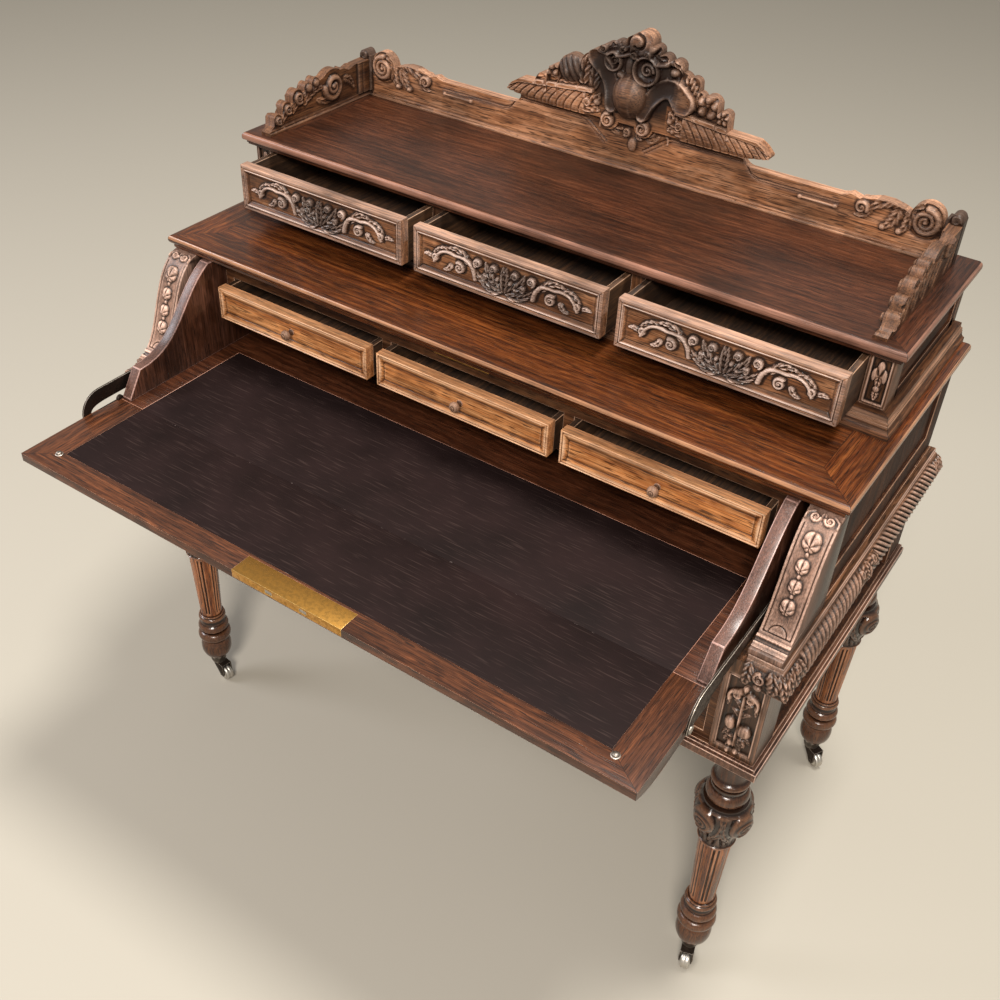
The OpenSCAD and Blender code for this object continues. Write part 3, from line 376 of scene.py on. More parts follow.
def timber(name, node, shape, material, axis="x", edge=0.9, cuts=(), member=None, replaced=(), angle=25):
    """A piece of wood with rubbed arrises. cuts are joints (point, normal) across it, drawn as fine dark
    lines, and member gives the way the grain runs at a point."""
    worn = shape.faces.layers.float.get("rub") or shape.faces.layers.float.new("rub")
    joint = shape.faces.layers.float.new("joint")
    sharp = [e for e in shape.edges
             if e.is_manifold and e.is_convex and e.calc_face_angle(0) > math.radians(angle)]
    made = bmesh.ops.bevel(shape, geom=sharp, offset=edge * MM, segments=2, profile=0.6, affect="EDGES",
                           clamp_overlap=True)["faces"]
    for face in made:
        face[worn] = 1.0
    for point, normal in cuts:
        for side in (-0.35, 0.35):
            place = [p * MM + side * MM * n for p, n in zip(point, normal)]
            bmesh.ops.bisect_plane(shape, geom=shape.verts[:] + shape.edges[:] + shape.faces[:],
                                   plane_co=place, plane_no=normal, dist=1e-7)
    for face in shape.faces:
        centre = np.array(face.calc_center_median()) / MM
        for point, normal in cuts:
            away = 2 * np.array(normal)
            meets = member is None or member(*(centre + away)) != member(*(centre - away))
            if meets and abs(sum((c - p) * n for c, p, n in zip(centre, point, normal))) < 0.34:
                face[joint] = 1.0
    mesh = mesh_of(shape, name)
    mesh.materials.clear()
    mesh.materials.append(material)
    obj = linked(name, mesh)
    corners = np.empty(len(mesh.polygons), np.int32)
    mesh.polygons.foreach_get("loop_total", corners)
    for source, target in (("rub", "worn"), ("joint", "hollow")):
        per_face = np.empty(len(mesh.polygons), np.float32)
        mesh.attributes[source].data.foreach_get("value", per_face)
        set_values(mesh, target, np.repeat(per_face, corners), "CORNER")
    set_grain(mesh, axis, name)
    if member:
        layer = mesh.attributes["grain"].data
        for face in mesh.polygons:
            way, offset = member(*(np.array(face.center) / MM))
            for corner in face.loop_indices:
                place = np.array(mesh.vertices[mesh.loops[corner].vertex_index].co) / MM
                layer[corner].vector = place[list(AXES[way])] + offset
    smoothly(obj)
    return seat(obj, node, replaced)


def board(node, material, axis="x", edge=0.9, cuts=(), member=None):
    return timber(node + "_board", node, node_shape(node), material, axis, edge, cuts, member, [node])


def unit(x):
    return np.clip(x, 0, 1)


def softened(values, reach):
    """Values of a grid averaged over a square of the given half width in cells."""
    for axis in (0, 1):
        padded = np.pad(values, [(reach, reach) if i == axis else (0, 0) for i in (0, 1)], mode="edge")
        total = np.cumsum(padded, axis=axis)
        first = np.take(total, [0], axis=axis) * 0
        total = np.concatenate([first, total], axis=axis)
        size = values.shape[axis]
        upper = np.take(total, range(2 * reach + 1, 2 * reach + 1 + size), axis=axis)
        lower = np.take(total, range(size), axis=axis)
        values = (upper - lower) / (2 * reach + 1)
    return values


def wear_of(height, reach=4, rise=0.55):
    """Rubbed heights and dirty hollows of a carved surface."""
    around = softened(height, reach)
    return unit((height - around) / rise), unit((around - height) / rise)


def quads_of(rows, columns, first=0, round_about=False):
    grid = first + np.arange(rows * columns).reshape(rows, columns)
    if round_about:
        grid = np.concatenate([grid, grid[:, :1]], axis=1)
    corners = [grid[:-1, :-1], grid[:-1, 1:], grid[1:, 1:], grid[1:, :-1]]
    return np.stack(corners, -1).reshape(-1, 4).tolist()


def flat_back(grid):
    """Faces that close a carved strip behind. grid holds the numbers of its points, one row for each line
    along it, and the points of the back's two long edges follow them."""
    near = grid.size + np.arange(grid.shape[1])
    far = near + grid.shape[1]
    faces = []
    for a, b in ((near, grid[0]), (grid[-1], far), (near, far)):
        faces += np.stack([a[:-1], a[1:], b[1:], b[:-1]], -1).tolist()
    faces.append(grid[:, 0].tolist() + [int(far[0]), int(near[0])])
    faces.append(grid[::-1, -1].tolist() + [int(near[-1]), int(far[-1])])
    return faces


def rim_of(rows, columns):
    grid = np.arange(rows * columns).reshape(rows, columns)
    return np.concatenate([grid[0, :-1], grid[:-1, -1], grid[-1, :0:-1], grid[:0:-1, 0]])


def carved(name, node, at, across, foot, top, rows, depth, face, back=None, material=None, axis="x",
           replaced=(), reach=4, rise=0.55, rubbed_edge=0.8, rubbed=0.7, stain=None):
    """A closed carved board. Its outline runs between foot and top at the places across, at() puts a
    point (across, up, out) in the model, and face gives the height of the carving, or back behind."""
    u = np.repeat(np.asarray(across, float)[None, :], rows, 0)
    share = np.linspace(0, 1, rows)[:, None]
    v = foot + share * (top - foot) + 0 * u
    columns = u.shape[1]
    height = face(u, v)
    front = np.stack(at(u, v, height), -1).reshape(-1, 3)
    rim = rim_of(rows, columns)
    rub, dirt = wear_of(height, reach, rise)
    for rim_line in (np.s_[0], np.s_[-1], np.s_[:, 0], np.s_[:, -1]):
        rub[rim_line], dirt[rim_line] = 0.1, 0
    rub[-1] = rubbed_edge
    faces = quads_of(rows, columns)
    count = len(front)
    if back:
        behind = back(u, v)
        other = np.stack(at(u, v, -depth - behind), -1).reshape(-1, 3)
        rub2, dirt2 = wear_of(behind, reach, rise)
        rub2[-1], dirt2[-1] = rubbed_edge, 0
        faces += [f[::-1] for f in quads_of(rows, columns, count)]
        far = rim + count
        rub, dirt = np.concatenate([rub, rub2]).ravel(), np.concatenate([dirt, dirt2]).ravel()
    else:
        other = np.stack(at(u.ravel()[rim], v.ravel()[rim], np.full(len(rim), -float(depth))), -1)
        far = count + np.arange(len(rim))
        faces.append([int(i) for i in far[::-1]])
        edge = rubbed_edge * (v.ravel()[rim] > np.median(v))
        rub, dirt = np.concatenate([rub.ravel(), edge]), np.concatenate([dirt.ravel(), 0 * edge])
    near_side, far_side = np.roll(rim, -1), np.roll(far, -1)
    faces += np.stack([near_side, rim, far, far_side], -1).tolist()
    obj = object_from(name, np.concatenate([front, other]), faces, material)
    values = {"worn": rubbed * rub, "hollow": dirt}
    if stain:
        dark = np.broadcast_to(stain(u, v, height), u.shape).ravel()
        values["stain"] = dark if back else np.concatenate([dark, dark[rim]])
    return finished(obj, node, replaced, axis, 50, **values)


def turned(name, node, outline, around, at, material, cut=None, replaced=(), axis="z", reach=3, rise=0.6,
           worn=0.0, stain=None, shaded_coves=()):
    """A turned piece. outline is points (radius, height) from one end to the other, at() puts a point in
    the model, and cut gives what the carver adds at an angle and height."""
    outline = np.asarray(outline, float)
    rows = len(outline)
    angle = np.linspace(0, 2 * math.pi, around, endpoint=False)[None, :] + 0 * outline[:, :1]
    radius, height = outline[:, :1] + 0 * angle, outline[:, 1:] + 0 * angle
    carving = cut(angle, height, radius) if cut else 0 * angle
    out = radius + carving
    points = np.stack(at(out * np.cos(angle), out * np.sin(angle), height), -1).reshape(-1, 3)
    faces = quads_of(rows, around, round_about=True)
    faces += [list(range(around))[::-1], [(rows - 1) * around + i for i in range(around)]]
    obj = object_from(name, points, faces, material)
    wide = np.concatenate([carving[:, -reach:], carving, carving[:, :reach]], 1)
    rub, dirt = (w[:, reach:-reach] for w in wear_of(wide, reach, rise))
    arris = np.zeros(rows)
    step = np.diff(outline, axis=0)
    turn = step[:-1, 0] * step[1:, 1] - step[:-1, 1] * step[1:, 0]
    arris[1:-1] = turn / (np.hypot(*step[:-1].T) * np.hypot(*step[1:].T) + 1e-9)
    way = 1 if outline[-1, 1] > outline[0, 1] else -1
    rub = unit(0.6 * rub + 1.1 * unit(way * arris)[:, None] + worn)
    dirt = unit(dirt + 1.2 * unit(-way * arris)[:, None])
    # Each cove is darkened, as dirt and painted shade, and a band 5 mm above it is lightened, as wear and a
    # painted highlight.
    for z in shaded_coves:
        dirt = np.maximum(dirt, bell((height - z) / 3.2, 4))
        rub = rub + 0.9 * bell((height - z - 5) / 1.6)
    values = {"worn": unit(rub), "hollow": dirt}
    if stain:
        values["stain"] = stain(angle, height)
    return finished(obj, node, replaced, axis, 40, **values)


def lines(low, high, pitch, marks=()):
    """Grid lines about pitch apart, with close pairs at the marks for crisp steps."""
    even = np.linspace(low, high, max(2, int(round((high - low) / pitch)) + 1))
    extra = [m + k for m in marks for k in (-0.06, 0.06) if low < m + k < high]
    return np.unique(np.concatenate([even, extra]))


def curve(a, b, c, d, count=15):
    """Points of a cubic curve from a to d."""
    t = np.linspace(0, 1, count)[:, None]
    a, b, c, d = (np.asarray(p, float) for p in (a, b, c, d))
    return (1 - t) ** 3 * a + 3 * (1 - t) ** 2 * t * b + 3 * (1 - t) * t ** 2 * c + t ** 3 * d


def respaced(points, pitch):
    """Points of a path about pitch apart, its own corners kept."""
    result = [points[0]]
    for start, end in zip(points[:-1], points[1:]):
        start, end = np.asarray(start, float), np.asarray(end, float)
        count = max(1, int(round(np.hypot(*(end - start)) / pitch)))
        result += [start + (end - start) * i / count for i in range(1, count + 1)]
    return np.array(result)


# Carver's cuts: each gives heights over the grid of points (u, v)

def dome(x):
    """A half round, one high at 0 and nothing from 1 on."""
    return np.sqrt(unit(1 - x ** 2))


def bell(x, power=2):
    """One at 0, fading out past 1, steeper with a higher power."""
    return np.exp(-x ** power)


def near(u, v, path):
    """Distance to a path and share of the way along it."""
    path = np.asarray(path, float)
    steps = np.hypot(*(path[1:] - path[:-1]).T)
    total, best = steps.sum(), np.full(u.shape, 1e9)
    along, run = np.zeros(u.shape), 0.0
    for (ax, ay), (bx, by), step in zip(path[:-1], path[1:], steps):
        dx, dy = bx - ax, by - ay
        t = unit(((u - ax) * dx + (v - ay) * dy) / max(step * step, 1e-9))
        distance = np.hypot(u - ax - t * dx, v - ay - t * dy)
        closer = distance < best
        best = np.where(closer, distance, best)
        along = np.where(closer, (run + t * step) / total, along)
        run += step
    return best, along


def bow(start, end, bend, count=8):
    """Points of an arc from start to end that bows out to the left by bend times its length."""
    start, end = np.asarray(start, float), np.asarray(end, float)
    way = end - start
    middle = (start + end) / 2 + 2 * bend * np.array([-way[1], way[0]])
    t = np.linspace(0, 1, count)[:, None]
    return (1 - t) ** 2 * start + 2 * t * (1 - t) * middle + t ** 2 * end


def spiral(centre, r0, r1, start, turns, count=26):
    """Points of a scroll about the centre, from radius r0 to r1; start is in degrees."""
    t = np.linspace(0, 1, count)
    angle = math.radians(start) + 2 * math.pi * turns * t
    radius = r0 + (r1 - r0) * t
    return np.stack([centre[0] + radius * np.cos(angle), centre[1] + radius * np.sin(angle)], 1)


def stem(u, v, path, w0, w1, tall):
    distance, along = near(u, v, path)
    width = w0 + (w1 - w0) * along
    return tall * dome(distance / width)


def leaf(u, v, path, half, tall, lobes=4, rib=0.4, cusp=0.3):
    """A carved leaf along the path, with a grooved rib and fluted lobes."""
    distance, along = near(u, v, path)
    outline = np.sin(math.pi * unit(along) ** 0.62) ** 0.7
    lobed = np.abs(np.cos(math.pi * lobes * (along - 0.25 * distance / half)))
    outline = outline * (1 - cusp + cusp * lobed)
    width = np.maximum(half * outline, 0.01)
    share = unit(distance / width)
    body = tall * dome(share) * (0.6 + 0.4 * share)
    flutes = 1 - 0.4 * (0.5 + 0.5 * np.cos(2 * math.pi * lobes * (along - 0.3 * distance / half)))
    ribbed = 1 - rib * bell(distance / (0.1 * half + 0.25))
    return np.where(share < 1, body * flutes * ribbed, 0)


def ball(u, v, centre, rx, ry, tall, turn=0.0):
    a = math.radians(turn)
    x, y = u - centre[0], v - centre[1]
    x, y = x * math.cos(a) + y * math.sin(a), -x * math.sin(a) + y * math.cos(a)
    return tall * np.sqrt(unit(1 - (x / rx) ** 2 - (y / ry) ** 2))


def rosette(u, v, centre, radius, petals, tall, turn=0.0):
    x, y = u - centre[0], v - centre[1]
    r, angle = np.hypot(x, y) / radius, np.arctan2(y, x) - math.radians(turn)
    lobed = np.abs(np.cos(petals * angle / 2))
    rim = 0.8 + 0.2 * lobed
    petal = np.sin(math.pi * unit(r / rim)) ** 0.6 * (0.55 + 0.45 * lobed)
    heart = 0.9 * dome(r / 0.28)
    return tall * np.maximum(np.where(r < rim, petal, 0), heart)


def volute(u, v, centre, radius, tall, start=0.0, hand=1, turns=1.6, wide=0.3):
    """A ridge wound in to a small eye."""
    ridge = stem(u, v, spiral(centre, radius * (1 - wide), radius * 0.22, start, hand * turns, 34),
                 radius * wide, radius * 0.16, tall)
    return np.maximum(ridge, ball(u, v, centre, radius * 0.2, radius * 0.2, tall * 1.05))


def palmette(u, v, base, length, wide, tall, lobes=7, way=1):
    """A fan of lobes that grows from its base, up or, with way -1, down."""
    x, y = u - base[0], way * (v - base[1])
    angle = np.degrees(np.arctan2(x / wide, y / length))
    r = np.hypot(x / wide, y / length)
    lobed = np.abs(np.cos(np.radians(angle) * lobes / 2.4))
    reach = 0.72 + 0.28 * lobed
    inside = (r < reach) & (np.abs(angle) < 118)
    body = dome(r / reach) * 0.5 + 0.5 * unit(r / 0.6)
    return np.where(inside, tall * (0.45 + 0.55 * lobed) * body, 0)


def husk(u, v, centre, rx, ry, tall, lobes=3):
    """A rounded leaf whose lobes fan up from its foot, in a narrow ring cut round it."""
    x, y = (u - centre[0]) / rx, (v - centre[1]) / ry
    r, fan = np.hypot(x, y), np.arctan2(x, y + 0.45)
    scallop = np.abs(np.sin(lobes * fan)) ** 0.6
    rim = 0.88 + 0.12 * scallop
    body = tall * dome(r / rim) * (0.55 + 0.45 * scallop)
    return np.where(r < rim, body, 0) - 2.4 * bell((r - 1.08) / 0.13)


def ribbon(u, v, path, w0, w1, tall):
    """A flat strap along the path, hollowed a little between its borders."""
    distance, along = near(u, v, path)
    share = unit(distance / (w0 + (w1 - w0) * along))
    lift = 1 + 0.25 * np.cos(2 * math.pi * along)
    return tall * lift * (0.66 + 0.34 * share ** 3) * np.sqrt(1 - share ** 14)


def hollowed(height, u, v, centre, radius, rim, deep):
    """The carving with a deep round hollow, its rolled rim and a scroll on its ground."""
    d = np.hypot(u - centre[0], v - centre[1])
    bowl = rim - deep * dome(d / radius)
    bowl = np.maximum(bowl, rim - deep + volute(u, v, centre, radius * 0.75, deep * 0.75, 0, 1, 1.3))
    ring = 1.2 * rim * dome((d - radius) / 3.4)
    return np.where(d < radius - 2, bowl, np.maximum(height, ring))


def groove(u, v, path, width, depth):
    distance, _ = near(u, v, path)
    return -depth * bell(distance / width, 4)


def all_of(*cuts):
    result = cuts[0]
    for cut in cuts[1:]:
        result = np.maximum(result, cut)
    return result


def relief_of(u, v, leaves=(), stems=(), volutes=(), balls=()):
    """The highest of many cuts. A leaf or a stem is the start, end and bend of its line, then its own
    sizes; a volute or a ball is its centre, then its own sizes."""
    cuts = [leaf(u, v, bow(*row[:3]), *row[3:]) for row in leaves]
    cuts += [stem(u, v, bow(*row[:3]), *row[3:]) for row in stems]
    cuts += [volute(u, v, *row) for row in volutes] + [ball(u, v, *row) for row in balls]
    return all_of(0 * u, *cuts)


def framed(u, v, half_u, half_v, steps):
    """Height of a moulding that runs round a rectangle; steps are (distance from the edge, height)."""
    e = np.minimum(half_u - np.abs(u), half_v - np.abs(v))
    mitre = np.abs((half_u - np.abs(u)) - (half_v - np.abs(v)))
    places, heights = zip(*steps)
    cut = np.where((e < places[-1]) & (e > 0.6), 0.5 * bell(mitre / 0.7), 0)
    return np.interp(e, places, heights) - cut


# Drawer fronts

FRONT_T, FIELD_SUNK = 17, 3
# Mouldings round the fronts, as distances from the edge and heights.
UPPER_STEPS = [(0, -0.8), (0.8, 0), (5, 0), (5.2, -1.3), (6.2, -1.3), (6.4, 0), (7.4, 0.5), (8.4, 0),
               (8.6, -1), (13.6, -4.2), (14, -4.8), (15, -4.6)]
INNER_STEPS = [(0, -0.7), (0.7, 0), (3, 0), (3.2, -1.4), (4.2, -1.4), (4.4, -0.5), (12.6, -3.0),
               (12.8, -3.8), (13.6, -3.8), (13.8, -3.0), (15, -3.0)]


def foliage(u, v):
    """A tuft of leaves and curls with a long leafy scroll to each side."""
    w = np.abs(u)
    basket = relief_of(
        w, v,
        leaves=[((0, -21), (3, 20), 0, 7, 9, 5), ((2, -20), (34, 18), -0.12, 8, 8.5, 5),
                ((6, -22), (54, 2), -0.14, 7, 7.5, 5)],
        volutes=[((46, 12), 9, 7.5, 300, 1, 1.4), ((19, 12), 7.5, 8, 200, -1, 1.4),
                 ((33, -5), 6, 7, 60, 1)],
        balls=[((11, -2), 3.6, 3.6, 8), ((20, -9), 3.4, 3.4, 7.5), ((58, 3), 3.4, 3.4, 6)])
    vine = np.concatenate([bow((50, -14), (86, 12), 0.26), bow((86, 12), (124, -8), 0.24)[1:]])
    scroll = relief_of(
        w, v,
        leaves=[((64, 4), (102, 19), 0.22, 6.5, 7, 4), ((94, 14), (128, 4), 0.14, 5.5, 6.5, 4),
                ((94, -4), (110, -17), -0.2, 5, 6, 3), ((128, -4), (146, -3), 0.15, 4, 5, 3)],
        volutes=[((79, -6), 11, 6.5, 60, 1, 1.4, 0.25), ((122, -2), 8, 6, 120, -1, 1.3)])
    return all_of(basket, stem(w, v, vine, 4.2, 2.6, 7), scroll)


def foliage_stain(u, v, height):
    """Dark wax in the middle of the carving, less of it towards the ends."""
    w = np.abs(u)
    cluster = unit(1.1 - (w / 54) ** 4) * (height > -3.6)
    ends_dark = 0.35 * unit((150 - w) / 20) * (height > -3.8)
    return (np.abs(v) < 25) * np.maximum(0.9 * cluster, ends_dark)


def drawer_front(node, steps, material, pitch, cut=None, stain=None):
    """A drawer's front with its moulded frame and plain or carved field. A knob may stand out of it, so
    its face is its thickness from the back."""
    low, high = ends(node)
    middle = (low + high) / 2
    half_u, half_v = (high[0] - low[0]) / 2, (high[2] - low[2]) / 2
    across = lines(-half_u, half_u, pitch, [k * (half_u - e) for e, _ in steps[1:] for k in (-1, 1)])
    plane = high[1] - FRONT_T
    carved(node + "_carved", node, lambda u, v, h: (u + middle[0], plane - h, v + middle[2]), across,
           -half_v, half_v, int(2 * half_v / pitch * 1.3), FRONT_T,
           lambda u, v: framed(u, v, half_u, half_v, steps) + (cut(u, v) if cut else 0), material=material,
           replaced=[node], reach=5, rise=0.9, rubbed_edge=0.25, rubbed=1.0, stain=stain)


KNOB = np.concatenate([[(0.1, 0), (5.2, 0), (5.4, 1), (4.2, 2.5), (3.4, 5.5), (3.6, 8), (5.0, 9.2)],
                       curve((5.6, 9.4), (9.6, 10.5), (9.4, 17.5), (4.6, 19.4), 9),
                       [(3.4, 19.3), (2.6, 19.9), (0.1, 20.2)]])

for side in SIDES:
    drawer_front("upper_front_" + side, UPPER_STEPS, DRAWER_OAK, 0.9, foliage, foliage_stain)
    node = "inner_front_" + side
    low, high = ends(node)
    drawer_front(node, INNER_STEPS, HONEY_OAK, 2.0)
    centre, plane = (low + high) / 2, high[1] - FRONT_T + FIELD_SUNK
    turned(node + "_knob", node, KNOB, 28,
           lambda x, y, z: (centre[0] + x, plane - z, centre[2] + y), OAK, worn=0.1)


# Turned and carved legs

LEG_X, LEG_FRONT, LEG_BACK = 538.5, -117.0, 397.0
CUP_TOP, CUP_FOOT, SHAFT_TOP, SHAFT_FOOT = 426, 335, 333, 176
# Half outline of a leg, as radii and heights, from the caster's socket up.
LEG = np.concatenate([
    [(0.1, 62), (17, 62), (19.5, 62.6)], curve((21, 63), (31, 70), (32, 96), (24, 105.4), 16),
    [(21.4, 106), (21.4, 111)], curve((27, 111.6), (33.6, 113), (33.6, 128), (25, 130.4), 10),
    [(21.4, 131), (21.4, 136)], curve((26, 136.6), (31, 138), (30.6, 148), (23.4, 151.6), 9),
    curve((23, 153), (21.6, 156), (21.4, 160), (22, 162), 5),
    [(24.6, 163), (25.8, 165), (25.8, 168), (24.6, 170), (22.4, 171.2), (22, 172.4), (23.4, 173.2),
     (23.6, 174.6), (22.4, 175.6)],
    respaced([(20.3, SHAFT_FOOT), (25.7, SHAFT_TOP)], 2.2),
    [(29, 333.4), (29.4, 334.6), (27.4, 336)],
    respaced(curve((27, 338), (29, 366), (38, 396), (35.6, 420), 12), 1.5),
    [(34.4, 424), (33.6, 427), (26, 428.5)], curve((27, 430), (34.5, 433), (34.5, 450), (24, 453.6), 12),
    [(23.6, 455), (27, 456), (27.2, 461), (24.2, 462)],
    curve((25.5, 465), (30.5, 467), (30.5, 473), (25, 476), 8),
    curve((23, 479), (21.8, 488), (21.8, 502), (25, 519), 10),
    [(31, 521.5), (31.6, 524), (31, CASE_FOOT), (0.1, CASE_FOOT)]])
# Points round the leg, and the heights of the coves that get dirt and painted shade, with wear and a painted
# highlight above each.
LEG_POINTS, LEG_SHADED_COVES = 192, (108, 133, 157, 429, 455, 463)
# Degrees round the leg to the middle of a scroll, one in each quarter.
SCROLL_TURN = 68


def leg_cuts(angle, height, radius):
    """Flutes in pairs down the shaft; four big scrolls stand out of the cup over curved leaf ribs."""
    turn = np.degrees(angle)
    w, v = np.radians((turn - SCROLL_TURN + 45) % 90 - 45) * 40, height - CUP_FOOT
    pair = (turn + 30) % 60 - 30
    reach = unit(np.minimum(height - SHAFT_FOOT - 7, SHAFT_TOP - 7 - height) / 3)
    across = np.radians(np.abs(np.abs(pair) - 8)) * radius
    flute = -2.4 * dome(across / 1.7) * np.sqrt(reach)
    drum = np.hypot(w / 21, (v - 62) / 26)
    disc = unit(1 - drum ** 6)
    swell = 6 * bell((v - 58) / 34, 4) + 5.5 * disc ** 0.5
    scroll = volute(w, v, (0, 62), 19, 4.6, 250, 1, 1.8, 0.2) - 2.6 * disc
    fan = w / (0.5 * v + 30)
    ribs = 3.4 * (np.abs(np.cos(fan * 7)) ** 0.6 - 1) * (drum > 1) * (v < 84)
    leaves = leaf(np.abs(w), v, bow((8, 14), (27, 84), -0.16), 6, 3.4, 5) * (drum > 0.96)
    cup = unit(np.minimum(v - 2, 88 - v) / 3) * ((v > 0) & (v < 91))
    return flute + cup * (swell + np.maximum(scroll, leaves) + ribs * (leaves <= 0))


def leg_stain(angle, height):
    """The cup and the turned rings are darker than the shaft."""
    cup = (height > CUP_FOOT) & (height < CUP_TOP)
    return np.where((height > SHAFT_FOOT) & (height < SHAFT_TOP), 0, np.where(cup, 1.0, 0.85))


# A corner post: its width and depth, the foot of its carving, and the notch for the writing part.
POST = {"x0": 505, "x1": 572, "deep": 66, "carving": 548, "middle": 627, "notch": 724, "notch_x": 531.5}


def post_cuts(u, v):
    """Curled leaves, stems, an oval and a round fruit and a drop of leaves in a sunk panel."""
    x, z = u - LEG_X, v - POST["carving"]
    steps = [(0, -0.8), (0.8, 0), (6.2, 0), (6.4, -0.9), (7.2, -0.9), (7.4, 0.2), (8.4, 0.5), (9.2, 0),
             (9.4, -4)]
    panel = framed(x, z - 79, 33.5, 76, steps)
    panel = np.where(np.abs(z - 79) < 76, panel, 0)
    w = np.abs(x)
    ground = (w < 24) & (z > 4) & (z < 154)
    pairs = relief_of(
        w, z,
        leaves=[((17, 112), (19, 88), 0.1, 5, 6, 3), ((1, 90), (14, 104), 0.2, 5, 5, 3),
                ((1, 74), (15, 86), 0.2, 5, 5, 3), ((1, 34), (14, 22), 0.2, 7, 6.5, 3),
                ((0, 30), (9, 6), 0.1, 6, 6, 3)],
        stems=[((9, 122), (20, 102), 0.25, 3.6, 2.4, 6)],
        volutes=[((9, 115), 8, 6.5, 90, -1)])
    singles = relief_of(
        x, z,
        leaves=[((12, 42), (22, 32), 0.1, 5, 5, 3), ((-12, 46), (-20, 32), 0.1, 5, 5, 3)],
        balls=[((-11, 60), 8.5, 12, 9, 12), ((-5, 24), 5, 7, 7), ((5, 11), 5, 6, 7), ((-7, 7), 4, 4.6, 6.5)])
    fruit = ball(x, z, (10, 53), 11.5, 12, 10) - 1.2 * np.abs(np.sin(x * 0.6))
    relief = all_of(palmette(x, z, (0, 120), 17, 10, 6.5, 5), stem(x, z, [(0, 20), (0, 116)], 2.2, 2.2, 5),
                    pairs, singles, fruit) - 4
    return np.where(ground, np.maximum(panel, relief), panel)


# The sunk ground of the panel is darker. The post's two side faces take 0.6 of the dark stain, painted
# shade.
def post_stain_and_side_shade(u, v, height):
    ground = (np.abs(u - LEG_X) < 24.5) & (np.abs(v - POST["middle"]) < 67) & (height < -1)
    return np.where(np.abs(u - LEG_X) > 32.5, 0.6, 0.5 * ground)


for corner in CORNERS:
    node = "leg_" + corner
    k = -1 if "left" in corner else 1
    front = "front" in corner
    y = LEG_FRONT if front else LEG_BACK
    turned(node + "_turned", node, LEG, LEG_POINTS, lambda px, py, pz: (k * LEG_X + px, y + py, pz), LEG_OAK,
           leg_cuts, [node], stain=leg_stain, shaded_coves=LEG_SHADED_COVES)
    face_y, back_y = y - POST["deep"] / 2, y + POST["deep"] / 2
    if front:
        carved(node + "_post", node, lambda u, v, h: (k * u, face_y - h, v),
               lines(POST["x0"], POST["x1"], 1.1), CASE_FOOT, POST["notch"], 160, POST["deep"], post_cuts,
               material=CARVED_OAK, axis="z", rubbed_edge=0, rise=3, reach=5, rubbed=1.0, stain=post_stain_and_side_shade)
    else:
        post = box_shape((k * POST["x0"], k * POST["x1"], face_y, back_y, CASE_FOOT, POST["notch"]))
        timber(node + "_post", node, post, SIDE_OAK, "z", 1.0)
    top = box_shape((k * POST["notch_x"], k * POST["x1"], face_y, back_y, POST["notch"], WRITING_TOP))
    timber(node + "_post_top", node, top, OAK, "z", 0.5)


# Casters

# Degrees that each fork is turned from the front, as in the photograph.
TURNS = dict(zip(CORNERS, [82, 16, 110, 60]))
TRAIL, WHEEL_R = 19, 16
TREAD = np.concatenate([[(2.6, -8), (9, -8), (10, -7.2), (13.4, -7.2)],
                        curve((14.2, -7.6), (16.2, -6.5), (16.1, -3), (15.9, -0.6), 6),
                        [(15.5, 0), (15.9, 0.6)],
                        curve((16.1, 3), (16.2, 6.5), (14.2, 7.6), (13.4, 7.2), 6),
                        [(10, 7.2), (9, 8), (2.6, 8)]])
SOCKET = [(4.4, 40.2), (13.6, 40.2), (14.2, 42), (14.8, 44.5), (15.2, 48), (16.2, 54), (17.4, 58), (18, 60),
          (18.6, 61), (18.6, 62), (17.8, 62.6), (4.4, 62.6)]


def crown(angle, height, radius):
    """Ten points round the upper part of the socket."""
    points = 1.6 * (np.abs((np.degrees(angle) * 10 / 360) % 1 - 0.5) * 2)
    return np.where(height > 52, points * unit((height - 52) / 8), 0)


for index, corner in enumerate(CORNERS):
    node = "caster_wheel_" + corner
    k = -1 if "left" in corner else 1
    y = LEG_FRONT if "front" in corner else LEG_BACK
    t = math.radians(TURNS[corner])
    hub = (k * LEG_X + TRAIL * math.sin(t), y - TRAIL * math.cos(t), WHEEL_R)

    def rolling(px, py, pz):
        return (hub[0] + pz * math.cos(t) - px * math.sin(t), hub[1] + pz * math.sin(t) + px * math.cos(t),
                hub[2] + py)

    turned(node + "_turned", node, TREAD, 48, rolling, STEEL, replaced=[node], worn=0.3)
    board("caster_fork_" + corner, IRON, "z", 0.5)
    turned(f"caster_socket_{corner}", "caster_sockets", SOCKET, 60,
           lambda px, py, pz: (k * LEG_X + px, y + py, pz), IRON, crown,
           ["caster_sockets"] if index == 0 else (), worn=0.12)


# Gadrooned bands round the case under the writing height

# A band's foot and height, the side that it stands on, and how far it runs back and round the corner.
BAND_FOOT, BAND_H, BAND_FACE, CASE_FRONT = 704, 46, 572, -150
BAND_LONG, BAND_END = REAR - CASE_FRONT, 40
BAND = respaced(np.concatenate([[(0.2, 0), (5.6, 0), (6, 0.5), (6, 6.5), (8.6, 7), (9, 9)],
                                curve((25, 9.6), (28, 20), (22, 35), (10.4, 39), 12),
                                [(9, 39.4), (9, 45.4), (8.4, BAND_H), (0.2, BAND_H)]]), 1.1)


